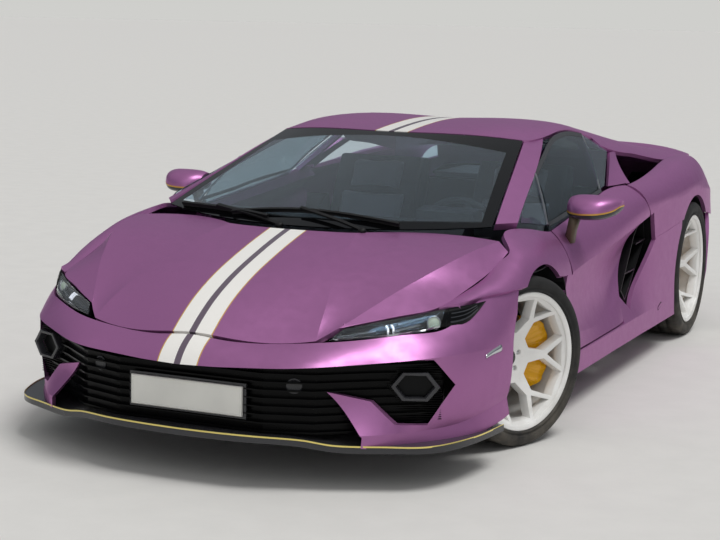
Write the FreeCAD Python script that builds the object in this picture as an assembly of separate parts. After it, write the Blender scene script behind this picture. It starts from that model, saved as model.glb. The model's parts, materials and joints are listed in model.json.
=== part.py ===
# Low two-seat sports car with a mid engine, built as separate named pieces in millimetres.
# X points to the car's left, the nose points to -Y, Z is up and the ground is Z = 0.
import functools
import math
import os

import FreeCAD
import Part

Vector = FreeCAD.Vector

# Overall size of the body without its mirrors. The tables below are in nominal millimetres
# and are stretched with these three sizes.
LENGTH = 4706.0
WIDTH = 1996.0
HEIGHT = 1210.0
NOMINAL_LENGTH = 4706.0
NOMINAL_WIDTH = 1996.0
NOMINAL_HEIGHT = 1210.0

# Axles and wheels
FRONT_AXLE_Y = -1168.0
REAR_AXLE_Y = 1490.0
FRONT_HALF_TRACK = 861.0
REAR_HALF_TRACK = 835.0
FRONT_TYRE_RADIUS = 343.5
REAR_TYRE_RADIUS = 364.0
FRONT_TYRE_WIDTH = 255.0
REAR_TYRE_WIDTH = 325.0
FRONT_RIM_RADIUS = 279.0
REAR_RIM_RADIUS = 292.0
RIM_WALL = 9.0
TYRE_SHOULDER = 16.0
SPOKE_COUNT = 5
HUB_RADIUS = 88.0
FRONT_DISC_RADIUS = 200.0
REAR_DISC_RADIUS = 190.0
DISC_THICKNESS = 34.0
KINGPIN_X = 748.0
STEER_REST = -22.0
FRONT_ARCH_RADIUS = 379.0
REAR_ARCH_RADIUS = 402.0

# Panel build
PANEL = 20.0
DOOR_THICKNESS = 62.0
DOOR_FRONT_Y = -658.4
GLASS_BED = 4.0
GLASS = 5.0
SPLITTER_THICKNESS = 24.0
SHUT_GAP = 5.0
SEAM = 0.3

SCALE_X = WIDTH / NOMINAL_WIDTH
SCALE_Y = LENGTH / NOMINAL_LENGTH
SCALE_Z = HEIGHT / NOMINAL_HEIGHT


# General helpers
def place(x, y, z):
    """A nominal point of the body in the stretched body."""
    return Vector(x * SCALE_X, y * SCALE_Y, z * SCALE_Z)


def line_of(*points):
    """One feature line from a few nominal points."""
    return [place(*point) for point in points]


def both_sides(line):
    """A feature line that starts on the centre plane, carried over to the right side."""
    return [Vector(-p.x, p.y, p.z) for p in reversed(line[1:])] + line


def across_centre(line):
    """The same feature line on the right side."""
    return [Vector(-p.x, p.y, p.z) for p in line]


def full_width(centre, left):
    """Lines from the right edge over the centre line to the left edge."""
    return [across_centre(line) for line in reversed(left)] + [centre] + left


def mirrored(shape):
    """The same shape on the car's right side."""
    return shape.mirror(Vector(0, 0, 0), Vector(1, 0, 0))


def pair(shape):
    """Left and right copies that don't touch."""
    return Part.makeCompound([shape, mirrored(shape)])


def box(x0, x1, y0, y1, z0, z1):
    """A block between nominal limits."""
    low = place(x0, y0, z0)
    high = place(x1, y1, z1)
    size = high - low
    return Part.makeBox(size.x, size.y, size.z, low)


def fuse(shapes):
    """All shapes as one."""
    first = shapes[0]
    return first.multiFuse(shapes[1:]).removeSplitter() if len(shapes) > 1 else first


def prism(outline, direction):
    """A closed outline of points pushed along a direction."""
    wire = Part.makePolygon(outline + outline[:1])
    return Part.Face(wire).extrude(direction)


def side_prism(outline, x0, x1):
    """An outline in the side view (nominal y, z) pushed from x0 to x1."""
    start = [place(x0, y, z) for y, z in outline]
    return prism(start, Vector((x1 - x0) * SCALE_X, 0, 0))


def front_prism(outline, y0, y1):
    """An outline in the front view (nominal x, z) pushed from y0 to y1."""
    start = [place(x, y0, z) for x, z in outline]
    return prism(start, Vector(0, (y1 - y0) * SCALE_Y, 0))


def plan_prism(outline, z0, z1):
    """An outline seen from above (nominal x, y) pushed from z0 to z1."""
    start = [place(x, y, z0) for x, y in outline]
    return prism(start, Vector(0, 0, (z1 - z0) * SCALE_Z))


def rod(a, b, radius):
    """A round bar between two points."""
    axis = b - a
    return Part.makeCylinder(radius, axis.Length, a, axis)


# Smooth sheets through a grid of points, and panels of even thickness made from them
def curve_through(points, fractions):
    """The interpolating curve through points at fixed parameters."""
    curve = Part.BSplineCurve()
    curve.interpolate(Points=points, Parameters=fractions)
    return curve


def spaced(grid):
    """Parameters across the lines of a grid, from their mean distances."""
    steps = []
    for a, b in zip(grid, grid[1:]):
        steps.append(sum((q - p).Length for p, q in zip(a, b)) / len(a))
    total = sum(steps)
    values = [0.0]
    for step in steps:
        values.append(values[-1] + step / total)
    values[-1] = 1.0
    return values


def sheet(grid, across, along):
    """A smooth surface through grid[line][station]."""
    rows = [curve_through(line, along) for line in grid]
    columns = list(zip(*[row.getPoles() for row in rows]))
    crossing = [curve_through(list(column), across) for column in columns]
    poles = list(zip(*[column.getPoles() for column in crossing]))
    surface = Part.BSplineSurface()
    surface.buildFromPolesMultsKnots(
        [list(line) for line in poles],
        crossing[0].getMultiplicities(),
        rows[0].getMultiplicities(),
        crossing[0].getKnots(),
        rows[0].getKnots(),
        False,
        False,
        crossing[0].Degree,
        rows[0].Degree,
    )
    return surface.toShape()


def normal_at(grid, i, j):
    """The mean normal of the grid around one of its points."""
    last_line = len(grid) - 1
    last_station = len(grid[0]) - 1
    across = grid[min(i + 1, last_line)][j] - grid[max(i - 1, 0)][j]
    along = grid[i][min(j + 1, last_station)] - grid[i][max(j - 1, 0)]
    normal = across.cross(along)
    normal.normalize()
    return normal


def pushed_in(grid, depth, toward):
    """The grid moved by depth along its normals, to the side that the point toward is on."""
    middle = grid[len(grid) // 2][len(grid[0]) // 2]
    centre = normal_at(grid, len(grid) // 2, len(grid[0]) // 2)
    sign = 1.0 if centre.dot(toward - middle) > 0 else -1.0
    moved = []
    for i, line in enumerate(grid):
        moved.append([p + normal_at(grid, i, j) * (sign * depth) for j, p in enumerate(line)])
    return moved


def drawn_back(grid, gaps):
    """The grid with its first line, last line, first and last stations pulled inward."""
    first_gap, last_gap, start_gap, end_gap = gaps
    result = [list(line) for line in grid]
    for line in result:
        line[0] = line[0] + (line[1] - line[0]).normalize() * start_gap
        line[-1] = line[-1] + (line[-2] - line[-1]).normalize() * end_gap
    first = [p + (q - p).normalize() * first_gap for p, q in zip(result[0], result[1])]
    last = [p + (q - p).normalize() * last_gap for p, q in zip(result[-1], result[-2])]
    result[0] = first
    result[-1] = last
    return result


def closed(faces):
    """One solid from faces that meet edge to edge."""
    shell = Part.Shell(faces)
    shell.sewShape()
    solid = Part.Solid(shell)
    if solid.Volume < 0:
        solid.reverse()
    return solid


def panel(lines, thickness, toward, creases=(), gap=0.0):
    """A panel of even thickness through feature lines, sharp along the lines named in creases.

    gap is one distance for all four edges, or one each for the first line, the last line, the
    first station and the last station.
    """
    gaps = gap if isinstance(gap, tuple) else (gap,) * 4
    outer = drawn_back(lines, gaps) if any(gaps) else lines
    inner = pushed_in(outer, thickness, toward)
    along = spaced(list(zip(*outer)))
    bands = [0] + list(creases) + [len(outer) - 1]
    faces = []
    for a, b in zip(bands, bands[1:]):
        across = spaced(outer[a:b + 1])
        for grid in (outer, inner):
            faces.append(sheet(grid[a:b + 1], across, along))
        for station in (0, -1):
            rims = [[line[station] for line in grid[a:b + 1]] for grid in (outer, inner)]
            faces.append(sheet(rims, [0.0, 1.0], across))
    for k in (0, -1):
        faces.append(sheet([outer[k], inner[k]], [0.0, 1.0], along))
    return closed(faces)


def moved(shape, x, y, z):
    """A copy of a shape, shifted."""
    copy = shape.copy()
    copy.translate(Vector(x, y, z))
    return copy


def seated(shape, other, x, y, z):
    """A shape trimmed to lie against another, clear of it by the given step."""
    return shape.cut(other).cut(moved(other, x, y, z))


def biggest(shape):
    """The largest solid of a cut shape."""
    return max(shape.Solids, key=lambda solid: solid.Volume)


CORE = place(0, 0, 450)
FRONT_CORE = place(0, -1500, 250)
REAR_CORE = place(0, 1400, 450)


def arch_tool(axle_y, radius, height, x0, x1):
    """The round space that a wheel arch needs on the left side."""
    start = place(x0, axle_y, 0)
    start.z = height
    return Part.makeCylinder(radius, (x1 - x0) * SCALE_X, start, Vector(1, 0, 0))


FRONT_ARCH = arch_tool(FRONT_AXLE_Y, FRONT_ARCH_RADIUS, FRONT_TYRE_RADIUS, 560, 1150)
REAR_ARCH = arch_tool(REAR_AXLE_Y, REAR_ARCH_RADIUS, REAR_TYRE_RADIUS, 560, 1150)

# Outlines in the side view (y, z) that several pieces share
DOOR_OUTLINE = [(-668, 920), (-668, 640), (-634, 281), (147, 281), (213, 405), (427, 659),
                (552, 724), (606, 760), (606, 920)]
INTAKE = [(588, 738), (655, 752), (705, 612), (322, 312), (215, 402), (430, 655)]
DOOR_CUT = [(-674, 640), (-640, 275), (153, 275), (220, 400), (435, 654), (560, 718)]
QUARTER_OUTLINE = [(500, 610), (562, 612), (830, 629), (1200, 660), (1490, 664), (1830, 640),
                   (2115, 600), (2130, 742), (2140, 818), (2150, 885), (2170, 935), (2170, 1000),
                   (500, 1000)]

# Rear edge of the roof seen from above (x, y), where the buttresses and the engine lid begin
ROOF_END = [(-720, 560), (-560, 646), (560, 646), (720, 560)]

# Outline in the front view (x, z) of the grille opening between nose band and splitter
GRILLE_HALF = [
    (0, 436), (150, 440), (310, 449), (470, 459), (660, 468), (800, 475), (845, 470),
    (900, 370), (825, 228), (740, 241), (660, 324), (521, 358), (655, 203), (650, 120), (0, 120),
]


HOOD_CENTRE = line_of(
    (0, -2241, 534), (0, -2153, 596), (0, -2065, 645), (0, -1960, 690), (0, -1830, 734),
    (0, -1660, 783), (0, -1464, 830),
)
HOOD_BEAD = line_of(
    (190, -2232, 520), (190, -2140, 588), (182, -2055, 640), (176, -1940, 692), (168, -1810, 738),
    (160, -1640, 785), (150, -1455, 830),
)
HOOD_INNER = line_of(
    (464, -2166, 532), (442, -2062, 606), (420, -1975, 650), (395, -1890, 690), (365, -1770, 736),
    (330, -1610, 786), (287, -1427, 831),
)
HOOD_MIDDLE = line_of(
    (492, -2136, 552), (494, -2040, 602), (500, -1935, 654), (510, -1830, 700), (522, -1690, 750),
    (535, -1530, 792), (552, -1262, 829),
)
HOOD_CREASE = line_of(
    (521, -2099, 574), (560, -2022, 608), (602, -1938, 646), (645, -1852, 684), (700, -1727, 728),
    (765, -1560, 778), (826, -1248, 815),
)
HOOD_EDGE = line_of(
    (540, -2082, 578), (625, -2018, 596), (715, -1945, 615), (801, -1866, 634), (838, -1670, 671),
    (864, -1480, 715), (881, -1290, 781),
)


HOOD_CREASES = (1, 3, 7, 9)


def hood_panel(thickness, gap):
    """The lid's form at a given thickness, drawn back at its edges by gap."""
    left = [HOOD_BEAD, HOOD_INNER, HOOD_MIDDLE, HOOD_CREASE, HOOD_EDGE]
    lines = full_width(HOOD_CENTRE, left)
    return panel(lines, thickness, place(0, -1700, 200), creases=HOOD_CREASES, gap=gap)


@functools.lru_cache
def hood():
    """Clamshell front lid with its two creases a side."""
    return hood_panel(PANEL, SHUT_GAP / 2)


@functools.lru_cache
def hood_room():
    """The space that the closed lid needs, with its shut gap."""
    return hood_panel(PANEL + SHUT_GAP, -SHUT_GAP / 2)


@functools.lru_cache
def front_bumper():
    """Nose band, corners and the two fins, as one skin with the openings cut out."""
    top = line_of(
        (0, -2247, 530), (131, -2243, 519), (300, -2212, 517), (473, -2170, 530), (620, -2085, 542),
        (760, -1978, 558), (850, -1860, 572), (900, -1640, 655), (975, -1432, 668),
    )
    middle = line_of(
        (0, -2318, 478), (140, -2312, 478), (310, -2290, 480), (480, -2248, 488), (650, -2135, 498),
        (800, -1990, 512), (905, -1830, 525), (962, -1640, 550), (985, -1470, 570),
    )
    lip = line_of(
        (0, -2351, 433), (150, -2346, 437), (310, -2333, 446), (470, -2298, 457), (660, -2160, 466),
        (815, -2018, 476), (922, -1840, 478), (980, -1650, 478), (992, -1490, 475),
    )
    waist = line_of(
        (0, -2330, 350), (150, -2322, 352), (310, -2290, 355), (490, -2205, 360), (645, -2120, 362),
        (795, -2015, 366), (915, -1870, 370), (985, -1650, 370), (998, -1480, 370),
    )
    crease = line_of(
        (0, -2330, 215), (150, -2322, 215), (310, -2300, 215), (490, -2250, 213), (652, -2176, 210),
        (780, -2040, 210), (882, -1875, 212), (955, -1680, 240), (978, -1510, 262),
    )
    foot = line_of(
        (0, -2330, 186), (150, -2322, 186), (310, -2300, 186), (490, -2252, 182), (655, -2176, 164),
        (785, -2040, 160), (896, -1878, 158), (962, -1690, 170), (982, -1520, 190),
    )
    lines = [both_sides(line) for line in (top, middle, lip, waist, crease, foot)]
    skin = panel(lines, PANEL, FRONT_CORE, creases=(2, 4), gap=(SHUT_GAP / 2, 0.0, 0.0, 0.0))
    half = GRILLE_HALF
    outline = half + [(-x, z) for x, z in reversed(half[1:-1])]
    skin = skin.cut(front_prism(outline, -2500, -1750))
    skin = skin.cut(FRONT_ARCH).cut(mirrored(FRONT_ARCH)).cut(hood_room())
    return biggest(seated(skin, front_splitter(), 0, 0, SEAM))


@functools.lru_cache
def front_splitter():
    """Black blade under the nose."""
    edge = line_of(
        (0, -2347, 198), (150, -2344, 199), (300, -2328, 200), (455, -2264, 190), (570, -2214, 172),
        (720, -2140, 169), (870, -2050, 168), (960, -1840, 168), (990, -1600, 167),
    )
    inner = line_of(
        (0, -2100, 196), (130, -2098, 196), (260, -2090, 196), (390, -2060, 188), (500, -2010, 172),
        (600, -1950, 169), (700, -1860, 168), (800, -1740, 167), (850, -1620, 167),
    )
    lines = [both_sides(edge), both_sides(inner)]
    return panel(lines, SPLITTER_THICKNESS, place(0, -1900, 0))


@functools.lru_cache
def fender_skin():
    """Crowned left fender over the front wheel."""
    upper = line_of(
        (810, -1852, 638), (838, -1670, 671), (864, -1480, 715), (875, -1370, 755), (884, -1288, 783),
        (820, -1180, 832), (826, -1030, 842), (850, -850, 818), (857, -672, 794),
    )
    crown = line_of(
        (842, -1822, 644), (885, -1665, 671), (927, -1490, 708), (946, -1380, 732), (952, -1280, 752),
        (948, -1170, 768), (940, -1030, 768), (932, -850, 745), (926, -668, 712),
    )
    lower = line_of(
        (866, -1792, 650), (922, -1615, 659), (970, -1488, 664), (988, -1390, 664), (995, -1290, 660),
        (996, -1170, 660), (993, -1030, 655), (980, -850, 635), (958, -664, 604),
    )
    gaps = (0.0, 0.0, 0.0, SHUT_GAP / 2)
    return panel([upper, crown, lower], PANEL, place(300, -1200, 300), gap=gaps)


@functools.lru_cache
def front_fenders():
    """Left and right fender, trimmed round the wheel, the lid and the bumper."""
    skin = fender_skin().cut(FRONT_ARCH).cut(hood_room())
    return pair(seated(skin, front_bumper(), 0, SEAM, SEAM))


def windscreen():
    """Raked screen, curved across."""
    centre = line_of((0, -1434, 840), (0, -1100, 960), (0, -760, 1070), (0, -418, 1166))
    inner = line_of((420, -1320, 840), (400, -1010, 957), (378, -690, 1069), (350, -382, 1165))
    edge = line_of((752, -1122, 852), (703, -850, 952), (650, -572, 1051), (598, -296, 1146))
    return panel(full_width(centre, [inner, edge]), GLASS, CORE, gap=GLASS_BED)


WINDOW_LOW = line_of(
    (845, -682, 823), (843, -480, 838), (840, -260, 858), (834, -20, 880), (825, 185, 894),
)
WINDOW_TOP = line_of(
    (722, -494, 1010), (678, -240, 1081), (642, 0, 1136), (629, 260, 1147), (642, 470, 1126),
)
CORNER_LOW = line_of((826, -986, 862), (845, -694, 823))
CORNER_TOP = line_of((816, -958, 886), (727, -512, 1020))
QUARTER_LOW = line_of((824, 212, 898), (819, 288, 908))
QUARTER_TOP = line_of((636, 502, 1132), (733, 636, 1044))


def moved_line(line, x, y, z):
    """A feature line, shifted."""
    return [p + Vector(x, y, z) for p in line]


def bulged(low, high, bulge):
    """A line half way between two lines, pushed outward."""
    return [(p + q) * 0.5 + Vector(bulge, 0, bulge / 2) for p, q in zip(low, high)]


@functools.lru_cache
def door_glass():
    """Side window of the left door."""
    lines = [moved_line(WINDOW_LOW, 6, 0, -34), bulged(WINDOW_LOW, WINDOW_TOP, 14.0), WINDOW_TOP]
    glass = panel(lines, GLASS, place(0, -100, 700), gap=SHUT_GAP / 2)
    return biggest(seated(glass, door(), 0, 0, SEAM))


def fixed_glass():
    """Windscreen, the front corner and rear quarter lights and the upright rear window."""
    quarter = panel([QUARTER_LOW, QUARTER_TOP], GLASS, place(0, 300, 700), gap=(5, 5, 5, 11))
    corner = panel([CORNER_LOW, CORNER_TOP], GLASS, place(0, -700, 700))
    corner = biggest(seated(corner, cabin_frame(), 0, 0, -SEAM))
    rear = box(-420, 420, 640, 645, 860, 1110)
    return Part.makeCompound([windscreen(), pair(quarter), pair(corner), rear])


@functools.lru_cache
def cabin_frame():
    """Roof with its two bubbles, screen pillars and the posts behind the doors."""
    centre = line_of((0, -412, 1168), (0, -200, 1187), (0, 60, 1200), (0, 350, 1196), (0, 665, 1163))
    bubble = line_of(
        (330, -380, 1168), (330, -190, 1194), (330, 60, 1210), (330, 350, 1204), (330, 665, 1166),
    )
    shoulder = line_of(
        (530, -330, 1156), (535, -170, 1180), (540, 60, 1192), (545, 350, 1186), (560, 665, 1144),
    )
    rail = line_of(
        (598, -290, 1147), (625, -120, 1150), (622, 120, 1166), (622, 350, 1162), (668, 620, 1104),
    )
    roof = panel(full_width(centre, [bubble, shoulder, rail]), PANEL, CORE)
    rear_side = ROOF_END + [(720, 800), (-720, 800)]
    roof = biggest(roof.cut(plan_prism(rear_side, 900, 1300)))
    screen_side = line_of((758, -1106, 864), (707, -848, 955), (655, -571, 1053), (588, -250, 1150))
    door_side = line_of((822, -1012, 864), (765, -716, 956), (705, -410, 1052), (622, -90, 1146))
    pillar = panel([screen_side, door_side], 30.0, place(0, -500, 800))
    post_front = line_of((800, 226, 906), (728, 342, 1000), (632, 482, 1126))
    post_rear = line_of((797, 262, 910), (726, 376, 1002), (634, 516, 1122))
    post = panel([post_front, post_rear], 24.0, place(0, 300, 700))
    return fuse([roof, pillar, mirrored(pillar), post, mirrored(post)])


@functools.lru_cache
def door():
    """Left door, hollowed toward the side intake, with its tucked lower edge."""
    belt = line_of(
        (856, -664, 797), (850, -300, 836), (838, 0, 865), (832, 280, 893), (862, 520, 893),
    )
    shoulder = line_of(
        (926, -662, 710), (930, -300, 740), (935, 0, 770), (945, 280, 800), (956, 548, 820),
    )
    crease = line_of(
        (958, -658, 622), (958, -320, 652), (962, -20, 675), (967, 290, 708), (972, 600, 742),
    )
    hollow = line_of(
        (950, -650, 500), (925, -330, 500), (906, -40, 515), (890, 190, 545), (898, 390, 602),
    )
    ridge = line_of(
        (972, -642, 360), (965, -340, 335), (955, -70, 335), (942, 90, 362), (932, 219, 404),
    )
    edge = line_of(
        (985, -638, 284), (985, -360, 281), (985, -100, 281), (984, 30, 281), (976, 152, 283),
    )
    lines = [belt, shoulder, crease, hollow, ridge, edge]
    shell = panel(lines, DOOR_THICKNESS, place(300, -100, 600), creases=(2, 4), gap=SHUT_GAP / 2)
    return shell.common(side_prism(DOOR_OUTLINE, 600, 1100))


@functools.lru_cache
def side_skin():
    """Lower left flank from front arch to rear arch."""
    top = line_of(
        (978, -800, 632), (960, -640, 612), (950, -320, 606), (930, 0, 606), (930, 300, 610),
        (962, 560, 622), (985, 830, 637), (998, 1180, 668),
    )
    middle = line_of(
        (965, -800, 440), (955, -640, 440), (940, -320, 440), (920, 0, 440), (920, 300, 440),
        (965, 560, 440), (985, 830, 440), (997, 1180, 440),
    )
    ledge = line_of(
        (982, -800, 272), (985, -640, 271), (985, -320, 270), (985, 0, 270), (985, 300, 270),
        (987, 560, 269), (990, 830, 268), (994, 1180, 264),
    )
    sill = line_of(
        (978, -800, 176), (980, -640, 175), (981, -320, 174), (982, 0, 173), (984, 300, 172),
        (986, 560, 171), (988, 830, 169), (988, 1180, 165),
    )
    under = line_of(
        (880, -800, 158), (880, -640, 157), (880, -320, 156), (880, 0, 155), (880, 300, 154),
        (880, 560, 153), (880, 830, 152), (880, 1180, 150),
    )
    lines = [top, middle, ledge, sill, under]
    return panel(lines, PANEL, place(600, 0, 400), creases=(2, 3))


@functools.lru_cache
def body_sides():
    """Left and right flank, with the door and intake openings cut out."""
    skin = side_skin().cut(side_prism(DOOR_CUT, 700, 1100)).cut(side_prism(INTAKE, 700, 1100))
    skin = skin.cut(moved(side_prism(QUARTER_OUTLINE, 700, 1100), 0, 0, -SEAM))
    skin = seated(skin, fender_skin(), 0, 0, -SEAM)
    return pair(biggest(skin.cut(FRONT_ARCH).cut(REAR_ARCH)))


@functools.lru_cache
def rear_quarters():
    """Haunches over the rear wheels, buttresses from roof to tail and the fins behind the glass."""
    inner = line_of(
        (866, 527, 894), (858, 830, 905), (835, 1200, 932), (805, 1490, 946), (790, 1850, 948),
        (774, 2185, 928),
    )
    peak = line_of(
        (925, 535, 866), (925, 830, 882), (918, 1200, 912), (900, 1490, 930), (890, 1850, 918),
        (852, 2165, 882),
    )
    crown = line_of(
        (958, 552, 822), (968, 830, 838), (970, 1200, 862), (966, 1490, 876), (945, 1850, 855),
        (892, 2155, 815),
    )
    crease = line_of(
        (973, 606, 746), (985, 860, 773), (997, 1200, 788), (997, 1490, 792), (985, 1830, 775),
        (929, 2145, 740),
    )
    seam = line_of(
        (964, 560, 602), (984, 830, 619), (998, 1200, 650), (998, 1490, 654), (990, 1830, 630),
        (946, 2130, 588),
    )
    lines = [inner, peak, crown, crease, seam]
    gaps = (0.0, 0.0, SHUT_GAP / 2, 0.0)
    haunch = panel(lines, PANEL, place(500, 1400, 500), creases=(3,), gap=gaps)
    haunch = haunch.common(side_prism(QUARTER_OUTLINE, 700, 1100))
    haunch = haunch.cut(side_prism(INTAKE, 700, 1100)).cut(REAR_ARCH)
    crest_in = line_of(
        (427, 590, 1165), (425, 720, 1145), (420, 1000, 1085), (405, 1400, 1020), (394, 1845, 970))
    crest = line_of(
        (598, 590, 1140), (602, 720, 1125), (620, 1000, 1085), (640, 1400, 1030), (662, 1845, 980))
    crest_out = line_of(
        (706, 590, 1075), (737, 720, 1044), (754, 1000, 1012), (790, 1400, 958), (806, 1845, 942))
    buttress = panel([crest_in, crest, crest_out], PANEL, REAR_CORE)
    roof_side = [(-720, 400)] + [(x, y + SEAM) for x, y in ROOF_END] + [(720, 400)]
    buttress = biggest(buttress.cut(plan_prism(roof_side, 900, 1300)))
    fin_front = line_of((738, 646, 1040), (788, 470, 970), (830, 306, 904))
    fin_rear = line_of((734, 760, 1038), (796, 640, 970), (866, 575, 899))
    fin = panel([fin_front, fin_rear], 16.0, place(0, 500, 800))
    fin = biggest(fin.cut(box(700, 950, 200, 529, 800, 902)))
    rest = box(380, 430, 1290, 1330, 985, 1024).cut(moved(engine_cover(), SHUT_GAP, 0, -SEAM))
    return pair(fuse([haunch, buttress, fin, biggest(rest)]))


LAMP_INSET = 6.0
LAMP_DEPTH = 46.0
LAMP_SEAT = 0.995
LAMP_BORDER = 0.72

# Rear lamp opening in the rear view (x, z)
TAIL_LAMP = [(430, 800), (740, 790), (800, 735), (735, 672), (430, 668), (385, 735)]


def rear_lines(step=0.0):
    """Feature lines of the rear fascia, left side, moved forward by step."""
    top = line_of(
        (0, 2318, 872), (300, 2312, 872), (560, 2292, 866), (770, 2206, 848), (880, 2082, 798),
        (936, 1983, 742),
    )
    upper = line_of(
        (0, 2346, 760), (300, 2342, 760), (600, 2318, 755), (820, 2218, 740), (915, 2080, 700),
        (962, 1960, 655),
    )
    middle = line_of(
        (0, 2336, 560), (300, 2332, 560), (620, 2311, 555), (850, 2203, 545), (940, 2060, 530),
        (985, 1920, 520),
    )
    lower = line_of(
        (0, 2300, 420), (300, 2297, 420), (620, 2278, 410), (860, 2170, 370), (945, 2035, 340),
        (985, 1900, 300),
    )
    foot = line_of(
        (0, 2270, 372), (300, 2268, 372), (620, 2250, 350), (860, 2150, 260), (940, 2020, 230),
        (975, 1890, 210),
    )
    back = Vector(0, -step, 0)
    return [both_sides([p + back for p in line]) for line in (top, upper, middle, lower, foot)]


def rear_bumper():
    """Rear fascia round the lamps and the exhaust, down to the diffuser."""
    skin = panel(rear_lines(), PANEL, place(0, 1700, 500), creases=(3,))
    for sign in (1, -1):
        outline = [(sign * x, z) for x, z in TAIL_LAMP]
        skin = skin.cut(front_prism(outline, 2000, 2450))
    outlet = [(-150, 690), (150, 690), (215, 600), (150, 510), (-150, 510), (-215, 600)]
    skin = skin.cut(front_prism(outlet, 2000, 2450))
    skin = skin.cut(moved(side_prism(QUARTER_OUTLINE, -1100, 1100), 0, SEAM, -SEAM))
    skin = seated(skin, tail_spoiler(), 0, 0, -SEAM)
    return biggest(skin.cut(REAR_ARCH).cut(mirrored(REAR_ARCH)))


def scaled_outline(outline, share):
    """An outline drawn in toward its middle."""
    x0 = sum(x for x, z in outline) / len(outline)
    z0 = sum(z for x, z in outline) / len(outline)
    return [(x0 + (x - x0) * share, z0 + (z - z0) * share) for x, z in outline]


def tail_lamps():
    """Hexagonal rear lamp housings that follow the fascia, left and right."""
    depth = panel(rear_lines(LAMP_INSET), LAMP_DEPTH, place(0, 1700, 500), creases=(3,))
    outer = front_prism(scaled_outline(TAIL_LAMP, LAMP_SEAT), 2000, 2450)
    inner = front_prism(scaled_outline(TAIL_LAMP, LAMP_BORDER), 2000, 2450)
    back = panel(rear_lines(LAMP_DEPTH - 6), 5.0, place(0, 1700, 500), creases=(3,))
    ring = outer.cut(inner).common(depth)
    return pair(fuse([ring, outer.common(back)]))


@functools.lru_cache
def tail_spoiler():
    """Deck edge with the fixed lip."""
    front = line_of((0, 1846, 972), (300, 1846, 972), (560, 1846, 968), (798, 1846, 945))
    dip = line_of((0, 2100, 955), (300, 2100, 955), (560, 2085, 950), (796, 2030, 938))
    lip = line_of((0, 2306, 978), (300, 2300, 978), (560, 2278, 968), (788, 2186, 932))
    under = line_of((0, 2322, 864), (300, 2316, 864), (560, 2296, 858), (786, 2202, 838))
    lines = [both_sides(line) for line in (front, dip, lip, under)]
    deck = panel(lines, PANEL, place(0, 1900, 500), creases=(2,))
    for quarter, step in zip(rear_quarters().Solids, (-SEAM, SEAM)):
        deck = seated(deck, quarter, step, SEAM, 0)
    return biggest(deck)


def diffuser():
    """Ramp under the tail with upright strakes."""
    front = line_of((0, 1760, 150), (300, 1760, 150), (560, 1760, 150))
    rear = line_of((0, 2262, 350), (300, 2258, 350), (600, 2236, 335))
    ramp = panel([both_sides(front), both_sides(rear)], 16.0, place(0, 2000, 900))
    strakes = [ramp, box(200, 230, 1965, 1985, 240, 300), box(-230, -200, 1965, 1985, 240, 300)]
    for x in (-460, -300, -150, 150, 300, 460):
        outline = [(1900, 150), (2240, 200), (2240, 340), (1800, 168)]
        strakes.append(side_prism(outline, x - 6, x + 6))
    return fuse(strakes)


@functools.lru_cache
def engine_cover():
    """Lid over the engine with its row of louvres."""
    centre = line_of((0, 650, 1160), (0, 1000, 1076), (0, 1400, 1008), (0, 1841, 972))
    edge = line_of((422, 650, 1156), (415, 1000, 1082), (400, 1400, 1016), (389, 1841, 969))
    lid = panel([across_centre(edge), centre, edge], PANEL, REAR_CORE, gap=SHUT_GAP / 2)
    for k in range(6):
        y = 800 + 150 * k
        lid = lid.cut(box(-280, 280, y, y + 90, 800, 1300))
    return lid


# Outline of the front arch liner around the steered wheel, from the axle (y, z)
LINER_HALF = [(435, 250), (435, 343), (415, 472), (350, 602), (258, 697)]
LINER_WALL = 4.0
LINER_REACH = 334.0


def front_liner():
    """Left front arch liner, wide enough for the wheel at full lock."""
    half = [(FRONT_AXLE_Y + y, z) for y, z in LINER_HALF]
    other = [(FRONT_AXLE_Y - y, z) for y, z in reversed(LINER_HALF)]
    inside = half + other
    outer_half = [(FRONT_AXLE_Y + y + LINER_WALL, z) for y, z in LINER_HALF[:-1]]
    outer_half.append((FRONT_AXLE_Y + LINER_HALF[-1][0] + 2, LINER_HALF[-1][1] + LINER_WALL))
    outer_other = [(2 * FRONT_AXLE_Y - y, z) for y, z in reversed(outer_half)]
    outline = inside + list(reversed(outer_half + outer_other))
    liner = side_prism(outline, 545, 972)
    for skin in (fender_skin(), side_skin(), front_bumper()):
        liner = seated(liner, skin, -SEAM, 0, -SEAM)
    return biggest(liner)


def rear_liner():
    """Left rear arch liner."""
    start = place(640, REAR_AXLE_Y, 0)
    start.z = REAR_TYRE_RADIUS
    radius = REAR_ARCH_RADIUS - SEAM
    outer = Part.makeCylinder(radius, LINER_REACH, start, Vector(1, 0, 0))
    outer = outer.cut(Part.makeCylinder(radius - LINER_WALL, LINER_REACH, start, Vector(1, 0, 0)))
    return outer.cut(box(600, 1000, 1000, 2000, -100, 330))


FLOOR_TOP = 165.0


def floor_tub():
    """Cabin floor with sills, tunnel, bulkheads and the pillars that carry the doors."""
    parts = [
        box(-500, 500, -930, 640, 130, FLOOR_TOP),
        box(-760, 760, -700, 640, 130, FLOOR_TOP),
        box(-500, 500, -930, -890, 165, 720),
        box(-690, 690, 602, 640, 165, 860),
        box(-110, 110, -890, 602, 165, 400),
    ]
    for sign in (1, -1):
        left = [
            box(700, 800, -700, 640, 165, 380),
            box(790, 905, DOOR_FRONT_Y - 40, DOOR_FRONT_Y - SEAM, 200, 700),
        ]
        parts += left if sign > 0 else [mirrored(shape) for shape in left]
    return fuse(parts)


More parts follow.
